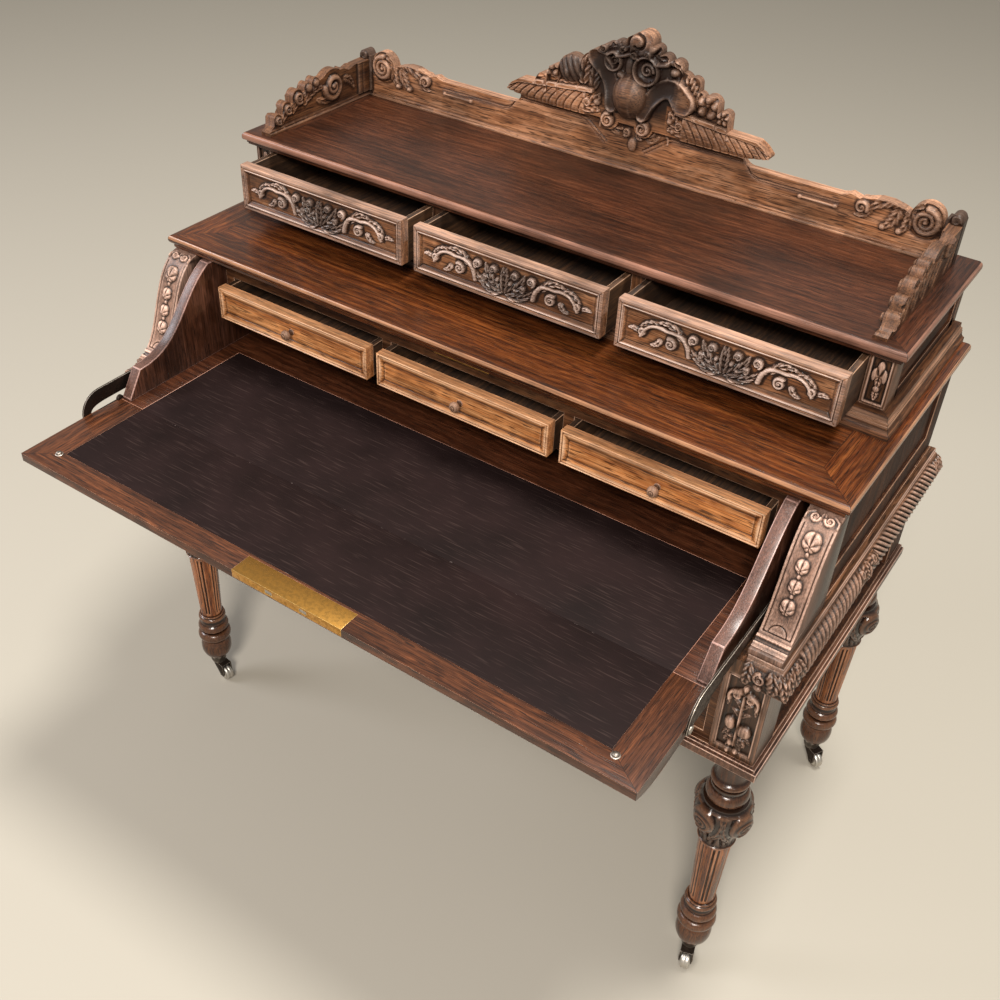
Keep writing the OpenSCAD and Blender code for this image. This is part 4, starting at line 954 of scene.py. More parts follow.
def band_cuts(run, v):
    """Slanting lobes, cut fine, that lean towards leaves half-way along the side, with leaves at both
    ends; run is the distance from the front corner, below zero across the front."""
    middle, pitch = 262.0, 12.0
    part = unit((v - 9) / 30)
    lean = np.where(run < middle, -13 * part, 40 * part ** 0.9)
    lobe = ((run + lean) / pitch) % 1
    lobes = 5.4 * np.sin(math.pi * lobe) ** 0.7 - 4
    spot = (run, 26 * part)
    centre = relief_of(
        *spot,
        leaves=[((middle - 40, 4), (middle + 2, 20), 0.15, 9, 5, 4),
                ((middle + 42, 4), (middle - 2, 20), -0.15, 9, 5, 4),
                ((middle, 0), (middle, 26), 0, 12, 6, 5)],
        volutes=[((middle - 22, 18), 6.5, 4.4, 0, 1), ((middle + 22, 18), 6.5, 4.4, 180, -1)])
    corner = relief_of(
        *spot,
        leaves=[((4, 25), (-2, 1), 0, 7.5, 5.5, 4), ((10, 25), (14, 1), -0.1, 7.5, 5.5, 4),
                ((20, 25), (29, 1), -0.15, 7.5, 5.5, 4), ((32, 25), (44, 1), -0.15, 7.5, 5.5, 4)],
        volutes=[((27, 20), 5, 4, 90, 1)])
    front = relief_of(
        *spot,
        leaves=[((-4, 25), (0, 0), 0, 7.5, 6.5, 4), ((-13, 25), (-16, 0), 0.1, 7.5, 6.5, 4),
                ((-36, 25), (-36, 0), 0, 7.5, 6.5, 4)],
        volutes=[((-25, 15), 7, 6, 90, 1)],
        balls=[((-25, 4), 4, 4, 5.5)])
    rear = relief_of(
        *spot,
        leaves=[((BAND_LONG - a, 24), (BAND_LONG - b, 2), 0.1, 7, 5, 4)
                for a, b in [(2, 4), (12, 18), (22, 32)]])
    over = unit(np.minimum(part * 9, (1 - part) * 9))
    return over * np.select(
        [np.abs(run - middle) < 34, run < 0, run < BAND_END, run > BAND_LONG - 30],
        [np.maximum(centre - 2, lobes - 1.5), np.maximum(front - 2.4, -2.4), np.maximum(corner - 2, -2),
         np.maximum(rear - 2, -2)], lobes)


def band(side, k):
    runs = np.concatenate([np.linspace(BAND_LONG, 0, 484), -np.linspace(0.8, BAND_END, 50)])
    out, up = BAND[:, 0:1], BAND[:, 1:2]
    run = runs[None, :] + 0 * out
    v = up + 0 * run
    height = band_cuts(run, v)
    step = np.gradient(BAND, axis=0)
    length = np.maximum(np.hypot(step[:, 0], step[:, 1]), 1e-6)
    out_way, up_way = (step[:, 1] / length)[:, None], (-step[:, 0] / length)[:, None]
    reach = out + height * out_way
    rise = up + height * up_way
    pull = unit(1 - np.abs(run) / 44)
    x = np.where(run >= 0, BAND_FACE + reach, BAND_FACE + run + reach * pull)
    y = np.where(run >= 0, CASE_FRONT + run - reach * pull, CASE_FRONT - reach)
    x = np.where(run < 0, np.maximum(x, POST["notch_x"]), x)
    points = np.stack([k * x, y, BAND_FOOT + rise], -1).reshape(-1, 3)
    behind = [(k * (BAND_FACE + min(r, 0)), CASE_FRONT + max(r, 0), z)
              for z in (BAND_FOOT, BAND_FOOT + BAND_H) for r in runs]
    faces = quads_of(*run.shape) + flat_back(np.arange(run.size).reshape(run.shape))
    obj = object_from("gadroon_band_" + side, np.concatenate([points, behind]), faces, CARVED_OAK)
    rub, dirt = wear_of(height, 3, 1.1)
    fillet = (BAND[:, 1] > 39.2) & (BAND[:, 0] > 8)
    rub = unit(0.55 * rub + 0.5 * fillet[:, None])
    finished(obj, "gadroon_bands", ["gadroon_bands"] if k > 0 else (), "y", 50, worn=rub, hollow=dirt)


for side, k in HANDS:
    band(side, k)


# S brackets under the shelf

# A bracket's width and back, the line of its face from the shelf down, and the square foot below that.
BRACKET = {"x0": 531, "x1": 577, "back": -22.4}
S_CURVE = respaced(np.concatenate([
    [(-41.4, SHELF_FOOT)], curve((-41.4, 916), (-103.4, 902), (-100, 775), (-151, 758), 40)]), 0.9)
S_FOOT = np.array([(-151, 758), (-156.4, 758), (-157, 757.4), (-157, 751), (-156.6, WRITING_TOP)])


def bracket_cuts(w, s, length):
    """Volutes, four husks with buds, a half ring and cut border lines; s runs down the face."""
    e = 23 - np.abs(w)
    lowest = length - 25
    edge = np.interp(e, [0, 0.8], [-0.8, 0])
    border = np.where((s > 26) & (s < lowest), -1.5 * bell((e - 4.4) / 0.75, 4), 0)
    border += -1.5 * bell((s - lowest) / 0.75, 4) * (e > 4)
    relief = relief_of(
        np.abs(w), -s,
        leaves=[((0, -3), (0, -24), 0, 4.5, 4.5, 3)],
        stems=[((13, -7), (21, -20), 0.2, 2, 1.2, 3)],
        volutes=[((9.5, -15), 8.5, 4.5, 180, 1, 1.4)])
    relief = relief - 1.6 * ((s < 26) & (e > 3))
    for place, size in ((46, 1.22), (79, 0.9), (107, 0.88), (136, 1.0)):
        relief = relief + np.where(np.hypot(w / 12, (s - place) / 14) < 1.5 * size,
                                   husk(w, -s, (0, -place), 10.5 * size, 12 * size, 6.5), 0)
    for place in (62.5, 93, 120.5):
        relief = all_of(relief, ball(w, s, (0, place), 2.4, 3.4, 3))
    ring = groove(w, s, spiral((0, lowest - 1), 12, 12, 180, 0.5), 0.8, 1.6)
    foot = np.interp(s, [length - 20, length - 19.6, length - 15, length - 14.6, length - 9, length - 8.6],
                     [0, 1.2, 1.2, -2.2, -2.2, 1.0], left=0)
    return np.where(s > length - 20, foot, edge + border + relief + ring)


def bracket(side, k):
    run = np.concatenate([[0], np.cumsum(np.hypot(*np.diff(S_CURVE, axis=0).T))])
    across = lines(-23, 23, 0.85)
    w, s = np.meshgrid(across, run)
    height = bracket_cuts(w, s, run[-1])
    step = np.gradient(S_CURVE, axis=0)
    length = np.hypot(step[:, 0], step[:, 1])[:, None]
    y = S_CURVE[:, :1] + height * step[:, 1:] / length
    z = np.minimum(S_CURVE[:, 1:] - height * step[:, :1] / length, SHELF_FOOT)
    flat = 0 * across + 0 * S_FOOT[:, :1]
    w, height = np.concatenate([w, across + flat]), np.concatenate([height, flat])
    y, z = np.concatenate([y, S_FOOT[:, :1] + flat]), np.concatenate([z, S_FOOT[:, 1:] + flat])
    middle = (BRACKET["x0"] + BRACKET["x1"]) / 2
    points = np.stack([k * (middle + w), y, z], -1).reshape(-1, 3)
    behind = [(k * x, BRACKET["back"], level) for x in (BRACKET["x0"], BRACKET["x1"])
              for level in np.linspace(SHELF_FOOT, WRITING_TOP, len(w))]
    faces = quads_of(*w.shape) + flat_back(np.arange(w.size).reshape(w.shape).T)
    node = "bracket_" + side
    obj = object_from(node + "_carved", np.concatenate([points, behind]), faces, BRACKET_OAK)
    rub, dirt = wear_of(height, 4, 1.0)
    # The stain of 1.6 on the back points darkens the bracket's two side faces towards its back, painted
    # shade where it meets the case.
    finished(obj, node, [node], "z", 50, node, worn=unit(0.8 * rub + 0.25), hollow=dirt,
             stain=np.repeat([0, 1.6], [w.size, len(behind)]))


for side, k in HANDS:
    bracket(side, k)


# Gallery

FOOT = 1066
GALLERY_X, GALLERY_Y, GALLERY_FRONT, BOARD_T = 530, 386, 128.6, 16
# Distance from the middle to the step beside the crest, and to the fluted end block.
GALLERY_STEP, GALLERY_POST = 196, 505.5
CREST_Y = 376


def with_rounds(u, line, rounds):
    """Height of an outline: a line, raised where rounds (middle, height, radius) stand over it."""
    top = np.array(line, float) + 0 * u
    for x, z, r in rounds:
        over = z + np.sqrt(np.clip(r * r - (u - x) ** 2, 0, None))
        top = np.where(np.abs(u - x) < r, np.maximum(top, over), top)
    return top


def gallery_line(u):
    w = np.abs(u)
    line = np.interp(w, [0, 195.9, 196, 354, 362, 368, 382, 396, 410, 428, 445, 458, 470, 490, 505, 506,
                         GALLERY_X],
                     [1142, 1142, 1142, 1124, 1126, 1129, 1125, 1129, 1133, 1133, 1129, 1124, 1122, 1122,
                      1122, 1134, 1134])
    ogee = 1142 - 18 * dome((214 - w) / 18)
    line = np.where((w > 196) & (w < 214), ogee, np.where((w >= 214) & (w < 354), 1124, line))
    return with_rounds(w, line, [(390, 1116, 12), (480, 1122, 24), (520, 1133.5, 9)])


def ledges(u, v):
    """Two small beads along the foot of a gallery board."""
    z = v - FOOT
    return np.interp(z, [0, 0.4, 3.4, 4, 4.6, 5, 7.2, 7.8, 8.6], [3.2, 3.6, 3.6, 3.0, 1.0, 1.8, 1.8, 1.2, 0])


# The cut line that follows the upper edge, from the corner scroll in to the pendant.
KEYED = [(352, 1113), (226, 1113), (214, 1117), (208, 1124), (205, 1131), (198, 1134), (78, 1134),
         (68, 1130), (32, 1104)]


def gallery_cuts(u, v):
    """Keyed lines, corner scrolls with their leaves, fluted end blocks, and curls and a pendant under
    the crest."""
    w = np.abs(u)
    keyed = groove(w, v, KEYED, 0.9, 1.8)
    keyed += groove(w, v, [(a + 3, b - 4) for a, b in KEYED[:-2]] + [(72, 1126), (36, 1100)], 0.8, 1.3)
    rod = all_of(stem(w, v, [(296, 1104), (348, 1104)], 2, 2, 2.4), ball(w, v, (295, 1104), 3.6, 3.6, 3),
                 ball(w, v, (349, 1104), 3.6, 3.6, 3))
    scroll = relief_of(
        w, v,
        volutes=[((480, 1119), 24, 8, 90, -1, 2.0, 0.22), ((388, 1115), 13, 7, 340, 1, 1.3, 0.3)],
        leaves=[((474, 1140), (396, 1112), -0.14, 14, 7, 6, 0.5),
                ((458, 1132), (446, 1092), 0.12, 10, 7, 4), ((440, 1126), (420, 1092), 0.12, 10, 6.5, 4),
                ((402, 1118), (378, 1102), 0.2, 6, 5.5, 3)],
        balls=[((423, 1095), 5, 4.6, 7), ((447, 1095), 5, 4.6, 7)])
    ring = -1.8 * bell((np.hypot(w - 480, v - 1119) - 26) / 1.8) * (v < 1130)
    post = np.where((w > GALLERY_POST) & (v > FOOT + 9), 4.4 - 1.2 * bell((w - 512) / 1.2, 4), 0)
    finial = np.where(w > 511, volute(w, v, (520, 1133.5), 9, 3, 0, 1), 0)
    x = np.abs(u - 14)
    hanging = relief_of(
        x, v,
        leaves=[((24, 1120), (46, 1134), -0.1, 5, 3.6, 3)],
        stems=[((20, 1130), (38, 1142), -0.3, 2.2, 1.6, 3.6), ((44, 1142), (60, 1124), 0.25, 2, 1.4, 3)],
        volutes=[((12, 1127), 9, 4.6, 300, -1, 1.3)],
        balls=[((0, 1110), 7.5, 11, 5.5)])
    field = all_of(scroll, post, rod, hanging) + keyed + ring
    return np.where(v > FOOT + 8.6, field, ledges(u, v)) + finial


def gallery_stain(u, v, height):
    w = np.abs(u)
    heart = 0.5 * unit(1 - np.hypot((u - 14) / 60, (v - 1124) / 26) ** 4)
    return unit(heart + 0.45 * (w > 372) * (height > 1) + 0.8 * (w > 505))


across = lines(-GALLERY_X, GALLERY_X, 1.3, [k * m for m in (GALLERY_STEP, GALLERY_POST) for k in (-1, 1)])
carved("gallery_back_carved", "gallery_back", lambda u, v, h: (u, GALLERY_Y - h, v), across, FOOT,
       gallery_line(across), 60, BOARD_T, gallery_cuts, material=GALLERY_OAK, replaced=["gallery_back"],
       rise=1.6, rubbed=0.35, rubbed_edge=0.5, stain=gallery_stain)


SIDE_ROLLS = [(24, 1086, 9.5), (47, 1099, 11), (74, 1110, 13), (100, 1118, 9.5), (119, 1122, 9)]


def side_line(u):
    """Upper edge of a side board, a row of rolls; u runs back from its front end."""
    places, heights, _ = zip(*SIDE_ROLLS)
    line = np.interp(u, (0, 12) + places + (142, 190, 204, 222, 257.4),
                     (1071, 1077) + heights + (1126, 1128, 1122, 1127, 1128))
    return with_rounds(u, line, SIDE_ROLLS + [(162, 1100, 34)])


def side_inside(u, v):
    y = u - GALLERY_FRONT
    scroll = relief_of(
        y, v,
        volutes=[((24, 1086), 9, 5, 300, -1, 1.3), ((48, 1098), 11, 5, 300, -1, 1.3),
                 ((75, 1109), 13, 5, 300, -1, 1.4), ((160, 1106), 27, 6, 180, 1, 1.6, 0.24)],
        leaves=[((28, 1076), (72, 1104), 0.12, 7, 4, 4), ((56, 1088), (104, 1114), 0.1, 7, 4, 4),
                ((84, 1094), (140, 1110), 0.14, 8, 4.5, 5), ((118, 1094), (176, 1088), -0.1, 7, 4, 4),
                ((188, 1112), (214, 1088), 0.15, 8, 4.5, 4)],
        balls=[((101, 1118), 8, 8, 5), ((119, 1122), 7, 7, 5)])
    ribs = np.where(y > 226, 3.4 - 1.4 * bell((y - 236) / 1.2, 4), 0)
    return np.where(v > FOOT + 8.8, np.maximum(scroll, ribs), ledges(u, v))


def side_outside(u, v):
    y = u - GALLERY_FRONT
    slits = 0 * y
    for line in [((20, 1076), (40, 1100), 0.2), ((56, 1076), (76, 1112), 0.15),
                 ((92, 1076), (112, 1116), 0.15), ((128, 1076), (150, 1118), 0.12),
                 ((168, 1078), (184, 1110), 0.1), ((216, 1078), (226, 1112), -0.1),
                 ((240, 1078), (244, 1110), -0.05)]:
        slits += groove(y, v, bow(*line), 3.2, 3.4)
    scroll = relief_of(
        y, v,
        volutes=[((18, 1086), 14, 4, 90, 1), ((200, 1120), 21, 4.5, 60, -1)],
        leaves=[((40, 1080), (66, 1114), 0.15, 9, 3.2, 4), ((76, 1080), (104, 1122), 0.12, 10, 3.2, 4),
                ((112, 1080), (136, 1126), 0.12, 10, 3.2, 4), ((150, 1080), (172, 1126), 0.1, 9, 3.2, 4)])
    return scroll + np.where(v > FOOT + 4, slits, 0)


across = lines(GALLERY_FRONT, GALLERY_Y, 1.2)
for side, k in HANDS:
    carved(f"gallery_side_{side}_carved", "gallery_sides",
           lambda u, v, h: (k * (GALLERY_X - BOARD_T - h), u, v), across, FOOT,
           side_line(across - GALLERY_FRONT), 48, BOARD_T, side_inside, side_outside, OAK, "y",
           ["gallery_sides"] if k > 0 else (), rise=1.4, rubbed=0.3, rubbed_edge=0.3)


# Crest over the back board

# The lumps of the crest's outline are rounds (middle, height, radius) over its slopes.
CREST_MIDDLE, CREST_HALF, CREST_T = 16, 228, 14
CREST_LUMPS = [(-152, 1178, 9), (-128, 1194, 11), (-98, 1205, 22), (-68, 1221, 14), (-52, 1234, 13),
               (-36, 1246, 11), (-20, 1252, 12), (-4, 1256, 12), (8, 1266, 12), (24, 1270, 17),
               (42, 1260, 10), (58, 1249, 11), (78, 1244, 12), (90, 1226, 14), (108, 1226, 11),
               (118, 1206, 12), (140, 1203, 15), (164, 1191, 10)]


def crest_top(u):
    slope = np.interp(np.abs(u - CREST_MIDDLE), [0, 80, 206, 218, CREST_HALF],
                      [1176, 1176, 1171, 1164, 1154])
    return with_rounds(u, slope, CREST_LUMPS)


def crest_foot(u):
    foot = np.interp(np.abs(u - CREST_MIDDLE), [0, 188, CREST_HALF], [1142, 1142, 1151])
    for x in (-26, 34):
        under = 1144 - np.sqrt(np.clip(256 - (u - x) ** 2, 0, None))
        foot = np.where(np.abs(u - x) < 16, np.minimum(foot, under), foot)
    return foot


def crest_cuts(u, v):
    """Flat lobes that lean to the middle under a fillet, flowers and leaves over them, and a polished boss
    between two straps, with two hollow scrolls and a folded leaf above."""
    w = np.abs(u - CREST_MIDDLE)
    fillet = np.interp(w, [0, 60, 206, CREST_HALF], [1182, 1182, 1168, 1157])
    part = unit((v - 1144) / np.maximum(fillet - 1147, 1))
    lobe = ((w + 20 * part ** 1.7) / 13.7) % 1
    gadroon = 9 * np.sin(math.pi * (0.1 + 0.76 * part)) ** 0.5
    gadroon = gadroon * (0.5 + 0.5 * (1 - np.abs(2 * lobe - 1) ** 7))
    gadroon = np.where((v < fillet - 1.5) & (w > 84), gadroon, 0)
    cluster = relief_of(
        w, v,
        leaves=[((98, 1150), (60, 1180), 0.12, 14, 11, 5), ((96, 1174), (58, 1152), 0.1, 11, 10, 5)],
        volutes=[((80, 1162), 9, 10, 0, 1)],
        balls=[((64, 1166), 6, 6, 10), ((70, 1152), 5, 5, 8)])
    cluster = np.where(v < fillet + 2, cluster, 0)
    strip = np.where((np.abs(v - fillet - 1.8) < 3.4) & (w > 70), 10, 0)
    stripes = np.abs(np.sin((u + 98) * 0.3 + (v - 1204) * 0.16)) ** 0.6
    rose = all_of(ball(u, v, (-98, 1206), 23, 22, 13), ball(u, v, (-100, 1202), 10, 13, 15))
    rose = np.where(rose > 0, rose - 3 + 3.4 * stripes, 0)
    second = rosette(u, v, (137, 1202), 20, 5, 13, 10) - 10 * bell(np.hypot(u - 139, v - 1198) / 7)
    flower = rosette(u, v, (164, 1191), 13, 5, 11, 15)
    garland = relief_of(
        u, v,
        leaves=[((-138, 1186), (-198, 1168), 0.05, 8, 6, 3), ((-74, 1188), (-62, 1238), 0.1, 13, 13, 4),
                ((-56, 1182), (-46, 1232), 0.1, 11, 10, 4), ((-118, 1186), (-150, 1192), -0.1, 7, 8, 3),
                ((-84, 1186), (-122, 1184), 0.1, 7, 9, 3), ((174, 1186), (228, 1166), -0.05, 8, 6, 3),
                ((118, 1194), (100, 1242), 0.05, 14, 12, 5), ((112, 1190), (92, 1220), 0.1, 8, 10, 3),
                ((-16, 1256), (-44, 1252), -0.15, 9, 14, 3), ((46, 1254), (92, 1242), 0.15, 10, 14, 4),
                ((70, 1240), (96, 1222), -0.1, 9, 12, 3)],
        volutes=[((-26, 1143), 14, 9, 90, 1), ((34, 1143), 14, 9, 90, -1)],
        balls=[((78, 1238), 8, 7, 13), ((-124, 1194), 5.6, 5.6, 11), ((-132, 1202), 5.6, 5.6, 11),
               ((-122, 1206), 5.6, 5.6, 11), ((-138, 1193), 5.6, 5.6, 11)])
    behind = 7 * (np.hypot((u - 10) / 66, (v - 1228) / 34) < 1) * (v > 1200)
    brow = relief_of(
        u, v,
        stems=[((-46, 1246), (6, 1252), -0.1, 5, 5, 17), ((6, 1252), (66, 1248), -0.1, 5, 5, 17),
               ((-10, 1218), (26, 1212), -0.1, 7, 7, 14)],
        balls=[((4, 1232), 9, 22, 12)])
    heart = hollowed(np.maximum(behind, brow), u, v, (-22, 1235), 13, 13, 12)
    heart = hollowed(heart, u, v, (34, 1232), 20, 14, 13)
    hooked = np.concatenate([bow((36, 1166), (52, 1200), 0.05), bow((52, 1200), (100, 1200), 0.3)[1:]])
    straps = np.maximum(ribbon(u, v, bow((-48, 1236), (-18, 1170), 0.1), 17, 11, 16),
                        ribbon(u, v, hooked, 9, 19, 17))
    boss = ball(u, v, (11, 1189), 32, 34, 30, 6)
    shell = np.hypot((u - 18) / 30, (v - 1270) / 19)
    fan = np.arctan2(v - 1244, u - 2)
    folds = 6 * np.abs(np.cos(4 * fan)) ** 2 * unit(1.4 * shell)
    crown_leaf = np.where(shell < 1, 11 + 9 * dome(shell) - folds, 0)
    crown_leaf = crown_leaf + groove(u, v, spiral((18, 1270), 17, 6, 200, -0.9), 2.2, 6) * (crown_leaf > 8)
    curls = relief_of(
        u, v,
        volutes=[((-6, 1256), 7, 19, 0, 1), ((14, 1251), 7.5, 19, 200, -1), ((36, 1256), 7, 19, 180, -1),
                 ((-38, 1252), 9, 19, 90, 1)])
    carving = all_of(gadroon, cluster, strip, rose, second, flower, garland)
    middle = (np.abs(u - 8) < 66) & (v > 1196)
    over = np.where(heart > 0, np.maximum(heart, carving * (heart > 6)), heart)
    carving = np.where(middle & (heart != 0), over, carving)
    return all_of(carving, straps, boss, crown_leaf, curls)


def crest_stain(u, v, height):
    """The middle and the roses are darker than the slopes."""
    heart = unit(2.6 - 2 * np.hypot((u - 14) / 84, (v - 1214) / 62))
    heart = heart * (1.1 - 0.45 * bell(np.hypot((u - 12) / 32, (v - 1188) / 34), 4))
    rose = unit(2.4 - 2 * np.hypot((u + 96) / 30, (v - 1206) / 24))
    dark = np.clip(2.0 - 2 * np.hypot((u - 137) / 24, (v - 1203) / 22), 0, 0.6)
    slopes = np.where(v > 1186, all_of(heart, rose, np.maximum(dark, 0.55)), 0)
    return np.where(np.abs(u - 8) < 62, heart, slopes)


across = lines(CREST_MIDDLE - CREST_HALF, CREST_MIDDLE + CREST_HALF, 1.0)
carved("crest_carved", "crest", lambda u, v, h: (u, CREST_Y - h, v), across, crest_foot(across),
       crest_top(across), 150, CREST_T, crest_cuts, material=GALLERY_OAK, replaced=["crest"], rise=2.4,
       rubbed_edge=0.3, rubbed=0.6, stain=crest_stain)


# Upper end posts

# The end posts: their middle line and half width, their front and back, the back of the end boards,
# and how far out those boards and the rails on them stand.
END = {"x": 531, "half": 18, "front": 132.6, "back": 168.6, "rear": 414, "board": (531, 545.5),
       "rails": (544, 549)}
# Rails round the sunk panel of an end, each as depths and heights.
END_RAILS = [(END["back"], 176, UPPER_FOOT, UPPER_TOP), (394, END["rear"], UPPER_FOOT, UPPER_TOP),
             (END["back"], END["rear"], UPPER_FOOT, 982), (END["back"], END["rear"], 1034, UPPER_TOP)]


def end_post_cuts(u, v):
    z = v - (UPPER_FOOT + UPPER_TOP) / 2
    panel = framed(u, z, END["half"], 39, [(0, -0.6), (0.6, 0), (3.6, 0), (3.8, 0.5), (4.8, 0.9),
                                           (5.8, 0.5), (6, -3)])
    flower = relief_of(
        u, z,
        leaves=[((0, 8), (0, -12), 0, 6, 4, 3), ((0, -16), (0, -31), 0, 5, 3.6, 3)],
        balls=[((0, -13), 4.4, 4.8, 4.2)])
    flower = all_of(palmette(u, z, (0, 6), 22, 10, 4.2, 5), flower)
    return panel + np.where((np.abs(u) < 12) & (np.abs(z) < 33), flower, 0)


for side, k in HANDS:
    carved(f"upper_post_{side}", "upper_ends", lambda u, v, h: (k * END["x"] + u, END["front"] - h, v),
           lines(-END["half"], END["half"], 0.7), UPPER_FOOT, UPPER_TOP, 110, 2 * END["half"], end_post_cuts,
           material=CARVED_OAK, axis="z", replaced=["upper_ends"] if k > 0 else (), rubbed_edge=0)
    boards, rails = [(k * END[name][0], k * END[name][1]) for name in ("board", "rails")]
    shape = box_shape(boards + (END["back"], END["rear"], UPPER_FOOT, UPPER_TOP),
                      *[rails + rail for rail in END_RAILS])
    timber(f"upper_side_{side}", "upper_ends", shape, SIDE_OAK, "y", 0.6)


# Moulded tops

# Edges of the tops, as distances set back and heights, from the foot up.
CAP = [(7, UPPER_TOP), (7, 1048), (5.4, 1049), (5.4, 1051.4), (7, 1052.2), (7, 1053), (1.4, 1053.6),
       (0.2, 1055.4), (0, 1058), (0.2, 1061), (1.4, 1063.6), (2.6, 1064.4), (3.4, 1064.6), (3.6, 1065.2),
       (5.4, FOOT), (9, FOOT)]
SHELF = [(9, SHELF_FOOT), (7.4, 917.6), (6, 919), (6, 923), (7.6, 924.4), (8, 926), (2.4, 926.4), (1, 928),
         (0, 930.6), (0, 933), (0.8, 936.4), (2.4, 938.2), (4.6, SHELF_TOP), (9, SHELF_TOP)]
PLINTH = [(0, SHELF_TOP), (0, 946), (0.6, 947), (2.4, 947.4), (4.4, 950), (5.2, 954), (5.2, 956.4),
          (6.2, 957), (6.2, 960.4), (8.6, 961), (9.4, 963), (9.4, 967), (10, UPPER_FOOT), (12, UPPER_FOOT)]


def mitred(x, y0, wide):
    """Joints and grain of a top whose front and end rails meet on the mitre."""
    turned_in = math.sqrt(0.5)
    cuts = [((k * x, y0, 0), (k * turned_in, turned_in, 0)) for k in (-1, 1)]

    def member(px, py, pz):
        from_end, from_front = x - abs(px), py - y0
        if from_end < min(wide, from_front):
            return "y", 400.0 + 61 * (px > 0)
        return ("x", 900.0) if from_front < wide else ("x", 120.0)

    return cuts, member


def top_board(node, profile, material, x, front, wide, nosing, rubbed, pockets=()):
    """A moulded top with rails so wide, rubbed between the two heights of its nosing."""
    shape = moulded_shape(x, front, REAR, profile)
    if pockets:
        shape = cut_out(shape, *pockets)
    rub = shape.faces.layers.float.new("rub")
    for face in shape.faces:
        if nosing[0] < face.calc_center_median().z / MM < nosing[1]:
            face[rub] = rubbed
    cuts, member = mitred(x, front, wide)
    cuts += [((0, front + wide, 0), (0, 1, 0))] + [((k * (x - wide), 0, 0), (1, 0, 0)) for k in (-1, 1)]
    return timber(node + "_moulded", node, shape, material, "x", 0.25, cuts, member, [node], 60)


top_board("cap", CAP, TOP_OAK, x=563, front=115.6, wide=62, nosing=(1053.4, 1065), rubbed=0.5)
# The shelf has two pockets over the strike plate, into which the bolts rise.
strike_low, strike_high = ends("strike_plate")
POCKETS = [(k * 30 - 7, k * 30 + 7, strike_low[1] + 3, strike_high[1] - 2, SHELF_FOOT - 2, SHELF_FOOT + 10)
           for k in (-1, 1)]
top_board("shelf", SHELF, SHELF_OAK, x=583, front=-50.4, wide=60, nosing=(933, 938.6), rubbed=0.6,
          pockets=POCKETS)
top_board("upper_plinth", PLINTH, OAK, x=569, front=110.6, wide=60, nosing=(955, 967), rubbed=0.3)


# Plain boards, each with its wood, the way of its grain and how far its arrises are rubbed

# The cheeks are rubbed pale along their upper edge too.
cheek_shape = node_shape("cheeks")
cheek_rub = cheek_shape.faces.layers.float.new("rub")
for face in cheek_shape.faces:
    if abs(face.normal.x) < 0.3 and face.normal.z > 0.05:
        face[cheek_rub] = 0.2
timber("cheeks_board", "cheeks", cheek_shape, CHEEK_OAK, "z", 1.4, replaced=["cheeks"], angle=32)

BOARDS = [("base_sides", SIDE_OAK, "z", 0.9), ("base_bottom", RAW_OAK, "x", 0.9),
          ("front_rails", OAK, "x", 0.9), ("slide_runners", RAW_OAK, "y", 0.9),
          ("back_panel", OAK, "z", 1.2), ("mid_sides", SIDE_OAK, "z", 1.2), ("drawer_nest", OAK, "x", 0.7),
          ("upper_dividers", OAK, "z", 0.7), ("upper_back", OAK, "x", 0.9),
          ("strike_plate", BRASS, "x", 0.3), ("lock", BRASS, "x", 0.4),
          ("lock_bolts", STEEL, "y", 0.3), ("stay_left", IRON, "y", 0.5), ("stay_right", IRON, "y", 0.5),
          ("slide_leather", LEATHER, "x", 0.15), ("leaf_leather", LEATHER, "x", 0.15),
          ("foot_moulding", BRACKET_OAK, "y", 0.9), ("frieze_front", OAK, "x", 1.2),
          ("frieze_box", RAW_OAK, "y", 0.8)]
BOARDS += [(place + side, BOX_OAK, "y", 0.8) for side in SIDES for place in ("inner_box_", "upper_box_")]
for plain in BOARDS:
    board(*plain)

# The leaf and the slide, whose rails and ends run along their own grain. The leaf's corners are mitred
# from the leather's corner to the leaf's.
LEAF_FRONT, LEAF_END, LEATHER_X, LEATHER_Y = -430, 524, 470, -392
LEAF_MITRE = np.array([LEATHER_Y - LEAF_FRONT, LEAF_END - LEATHER_X])
LEAF_MITRE = LEAF_MITRE / math.hypot(*LEAF_MITRE)


def slide_member(x, y, z):
    return ("y", 210.0) if abs(x) > LEATHER_X else ("x", 0.0)


def leaf_member(x, y, z):
    beyond = (abs(x) - LEATHER_X) * LEAF_MITRE[0] - (LEATHER_Y - y) * LEAF_MITRE[1]
    return ("y", 330.0) if beyond > 0 and abs(x) > LEATHER_X else ("x", 50.0)


board("slide_board", TOP_OAK, "x", 0.8, member=slide_member)
leaf_cuts = [((k * LEAF_END, LEAF_FRONT, 0), (k * LEAF_MITRE[0], LEAF_MITRE[1], 0)) for k in (-1, 1)]
board("leaf_board", LEAF_OAK, "x", 1.7, leaf_cuts, leaf_member)

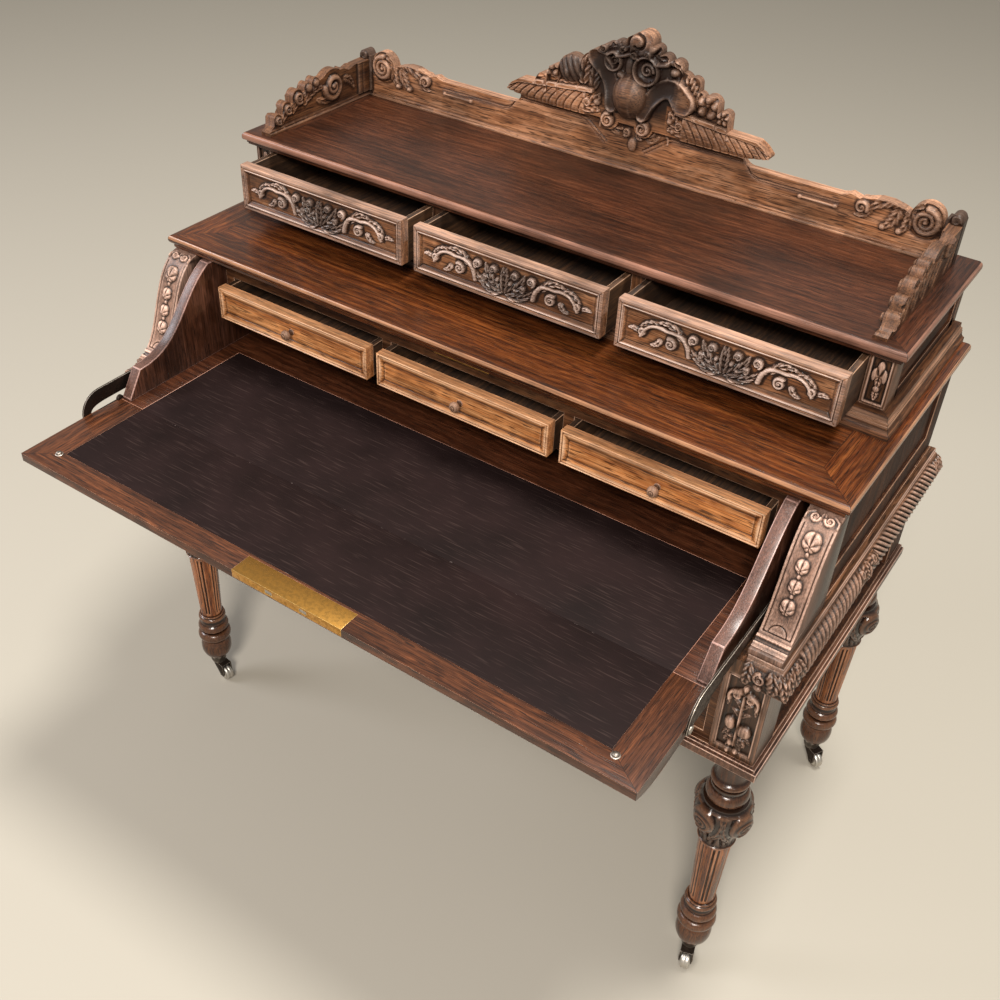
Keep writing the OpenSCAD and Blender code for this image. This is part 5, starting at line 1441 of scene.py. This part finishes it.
# A stud stands at each front corner of the leather, which keeps the closed leaf off the shelf.
STUD = np.concatenate([[(0.1, 0), (6, 0), (6.2, 0.6), (5.6, 1.2)],
                       curve((4.6, 1.3), (5, 3.6), (2.6, 4.6), (0.1, 4.7), 7)])
STUD_X, STUD_Y = LEATHER_X + 8, LEATHER_Y - 6
for side, k in HANDS:
    turned("leaf_stud_" + side, "leaf_hinges", STUD, 24,
           lambda px, py, pz: (k * STUD_X + px, STUD_Y + py, WRITING_TOP + pz), IRON, worn=0.15)
for node, material in (("slide_hinges", IRON), ("leaf_hinges", IRON), ("stay_screws", STEEL)):
    materials = frame["nodes"][node].data.materials
    for index in range(len(materials)):
        materials[index] = material


# A pale floor, lit by soft lamps

def make_plain(name, colour, rough):
    material, tree = new_material(name)
    shader = add(tree, "BsdfPrincipled", Base_Color=colour, Roughness=rough)
    add(tree, "OutputMaterial", Surface=shader)
    return material


FLOOR = 9000
floor = object_from("floor", [(x * FLOOR, y * FLOOR, 0) for x, y in ((-1, -1), (1, -1), (1, 1), (-1, 1))],
                    [[0, 1, 2, 3]], make_plain("pale floor", "#a8a296", 0.75), closed=False)


def lamp(name, place, target, size, power, colour="#ffffff"):
    light = bpy.data.lights.new(name, "AREA")
    light.shape = "DISK"
    light.size = size
    light.energy = power
    light.color = linear(colour)[:3]
    obj = linked(name, light)
    way = np.array(target, float) - np.array(place, float)
    obj.location = place
    obj.rotation_euler = (math.acos(-way[2] / np.linalg.norm(way)), 0,
                          math.atan2(way[1], way[0]) - math.pi / 2)


lamp("window", (1.7, -3.6, 4.3), (0, 0, 0.8), 1.3, 290, "#fff8f0")
lamp("fill", (-3.8, -2.0, 3.4), (0, 0, 0.7), 2.0, 110, "#f6f7ff")
lamp("ceiling", (0.9, 0.4, 5.4), (0, 0, 0.8), 1.2, 270, "#fffcf6")
world = bpy.data.worlds.new("soft room")
bpy.context.scene.world = world
world.use_nodes = True
sockets = world.node_tree.nodes["Background"].inputs
sockets["Color"].default_value = linear("#d9d4cc")
sockets["Strength"].default_value = 0.55


# Camera, at the photograph's place

camera = bpy.data.cameras.new("camera")
camera.sensor_width = 36
camera.lens = 42.38
camera.clip_end = 50
viewer = linked("camera", camera)
right = (0.82423, 0.56500, 0.03766)
up = (-0.37740, 0.49854, 0.78040)
back = (0.42215, -0.65745, 0.62414)
turn = Matrix([right, up, back]).transposed().to_4x4()
viewer.matrix_world = Matrix.Translation((0.8274, -1.2129, 1.8143)) @ turn
bpy.context.scene.camera = viewer
bpy.context.scene.view_settings.view_transform = "Standard"
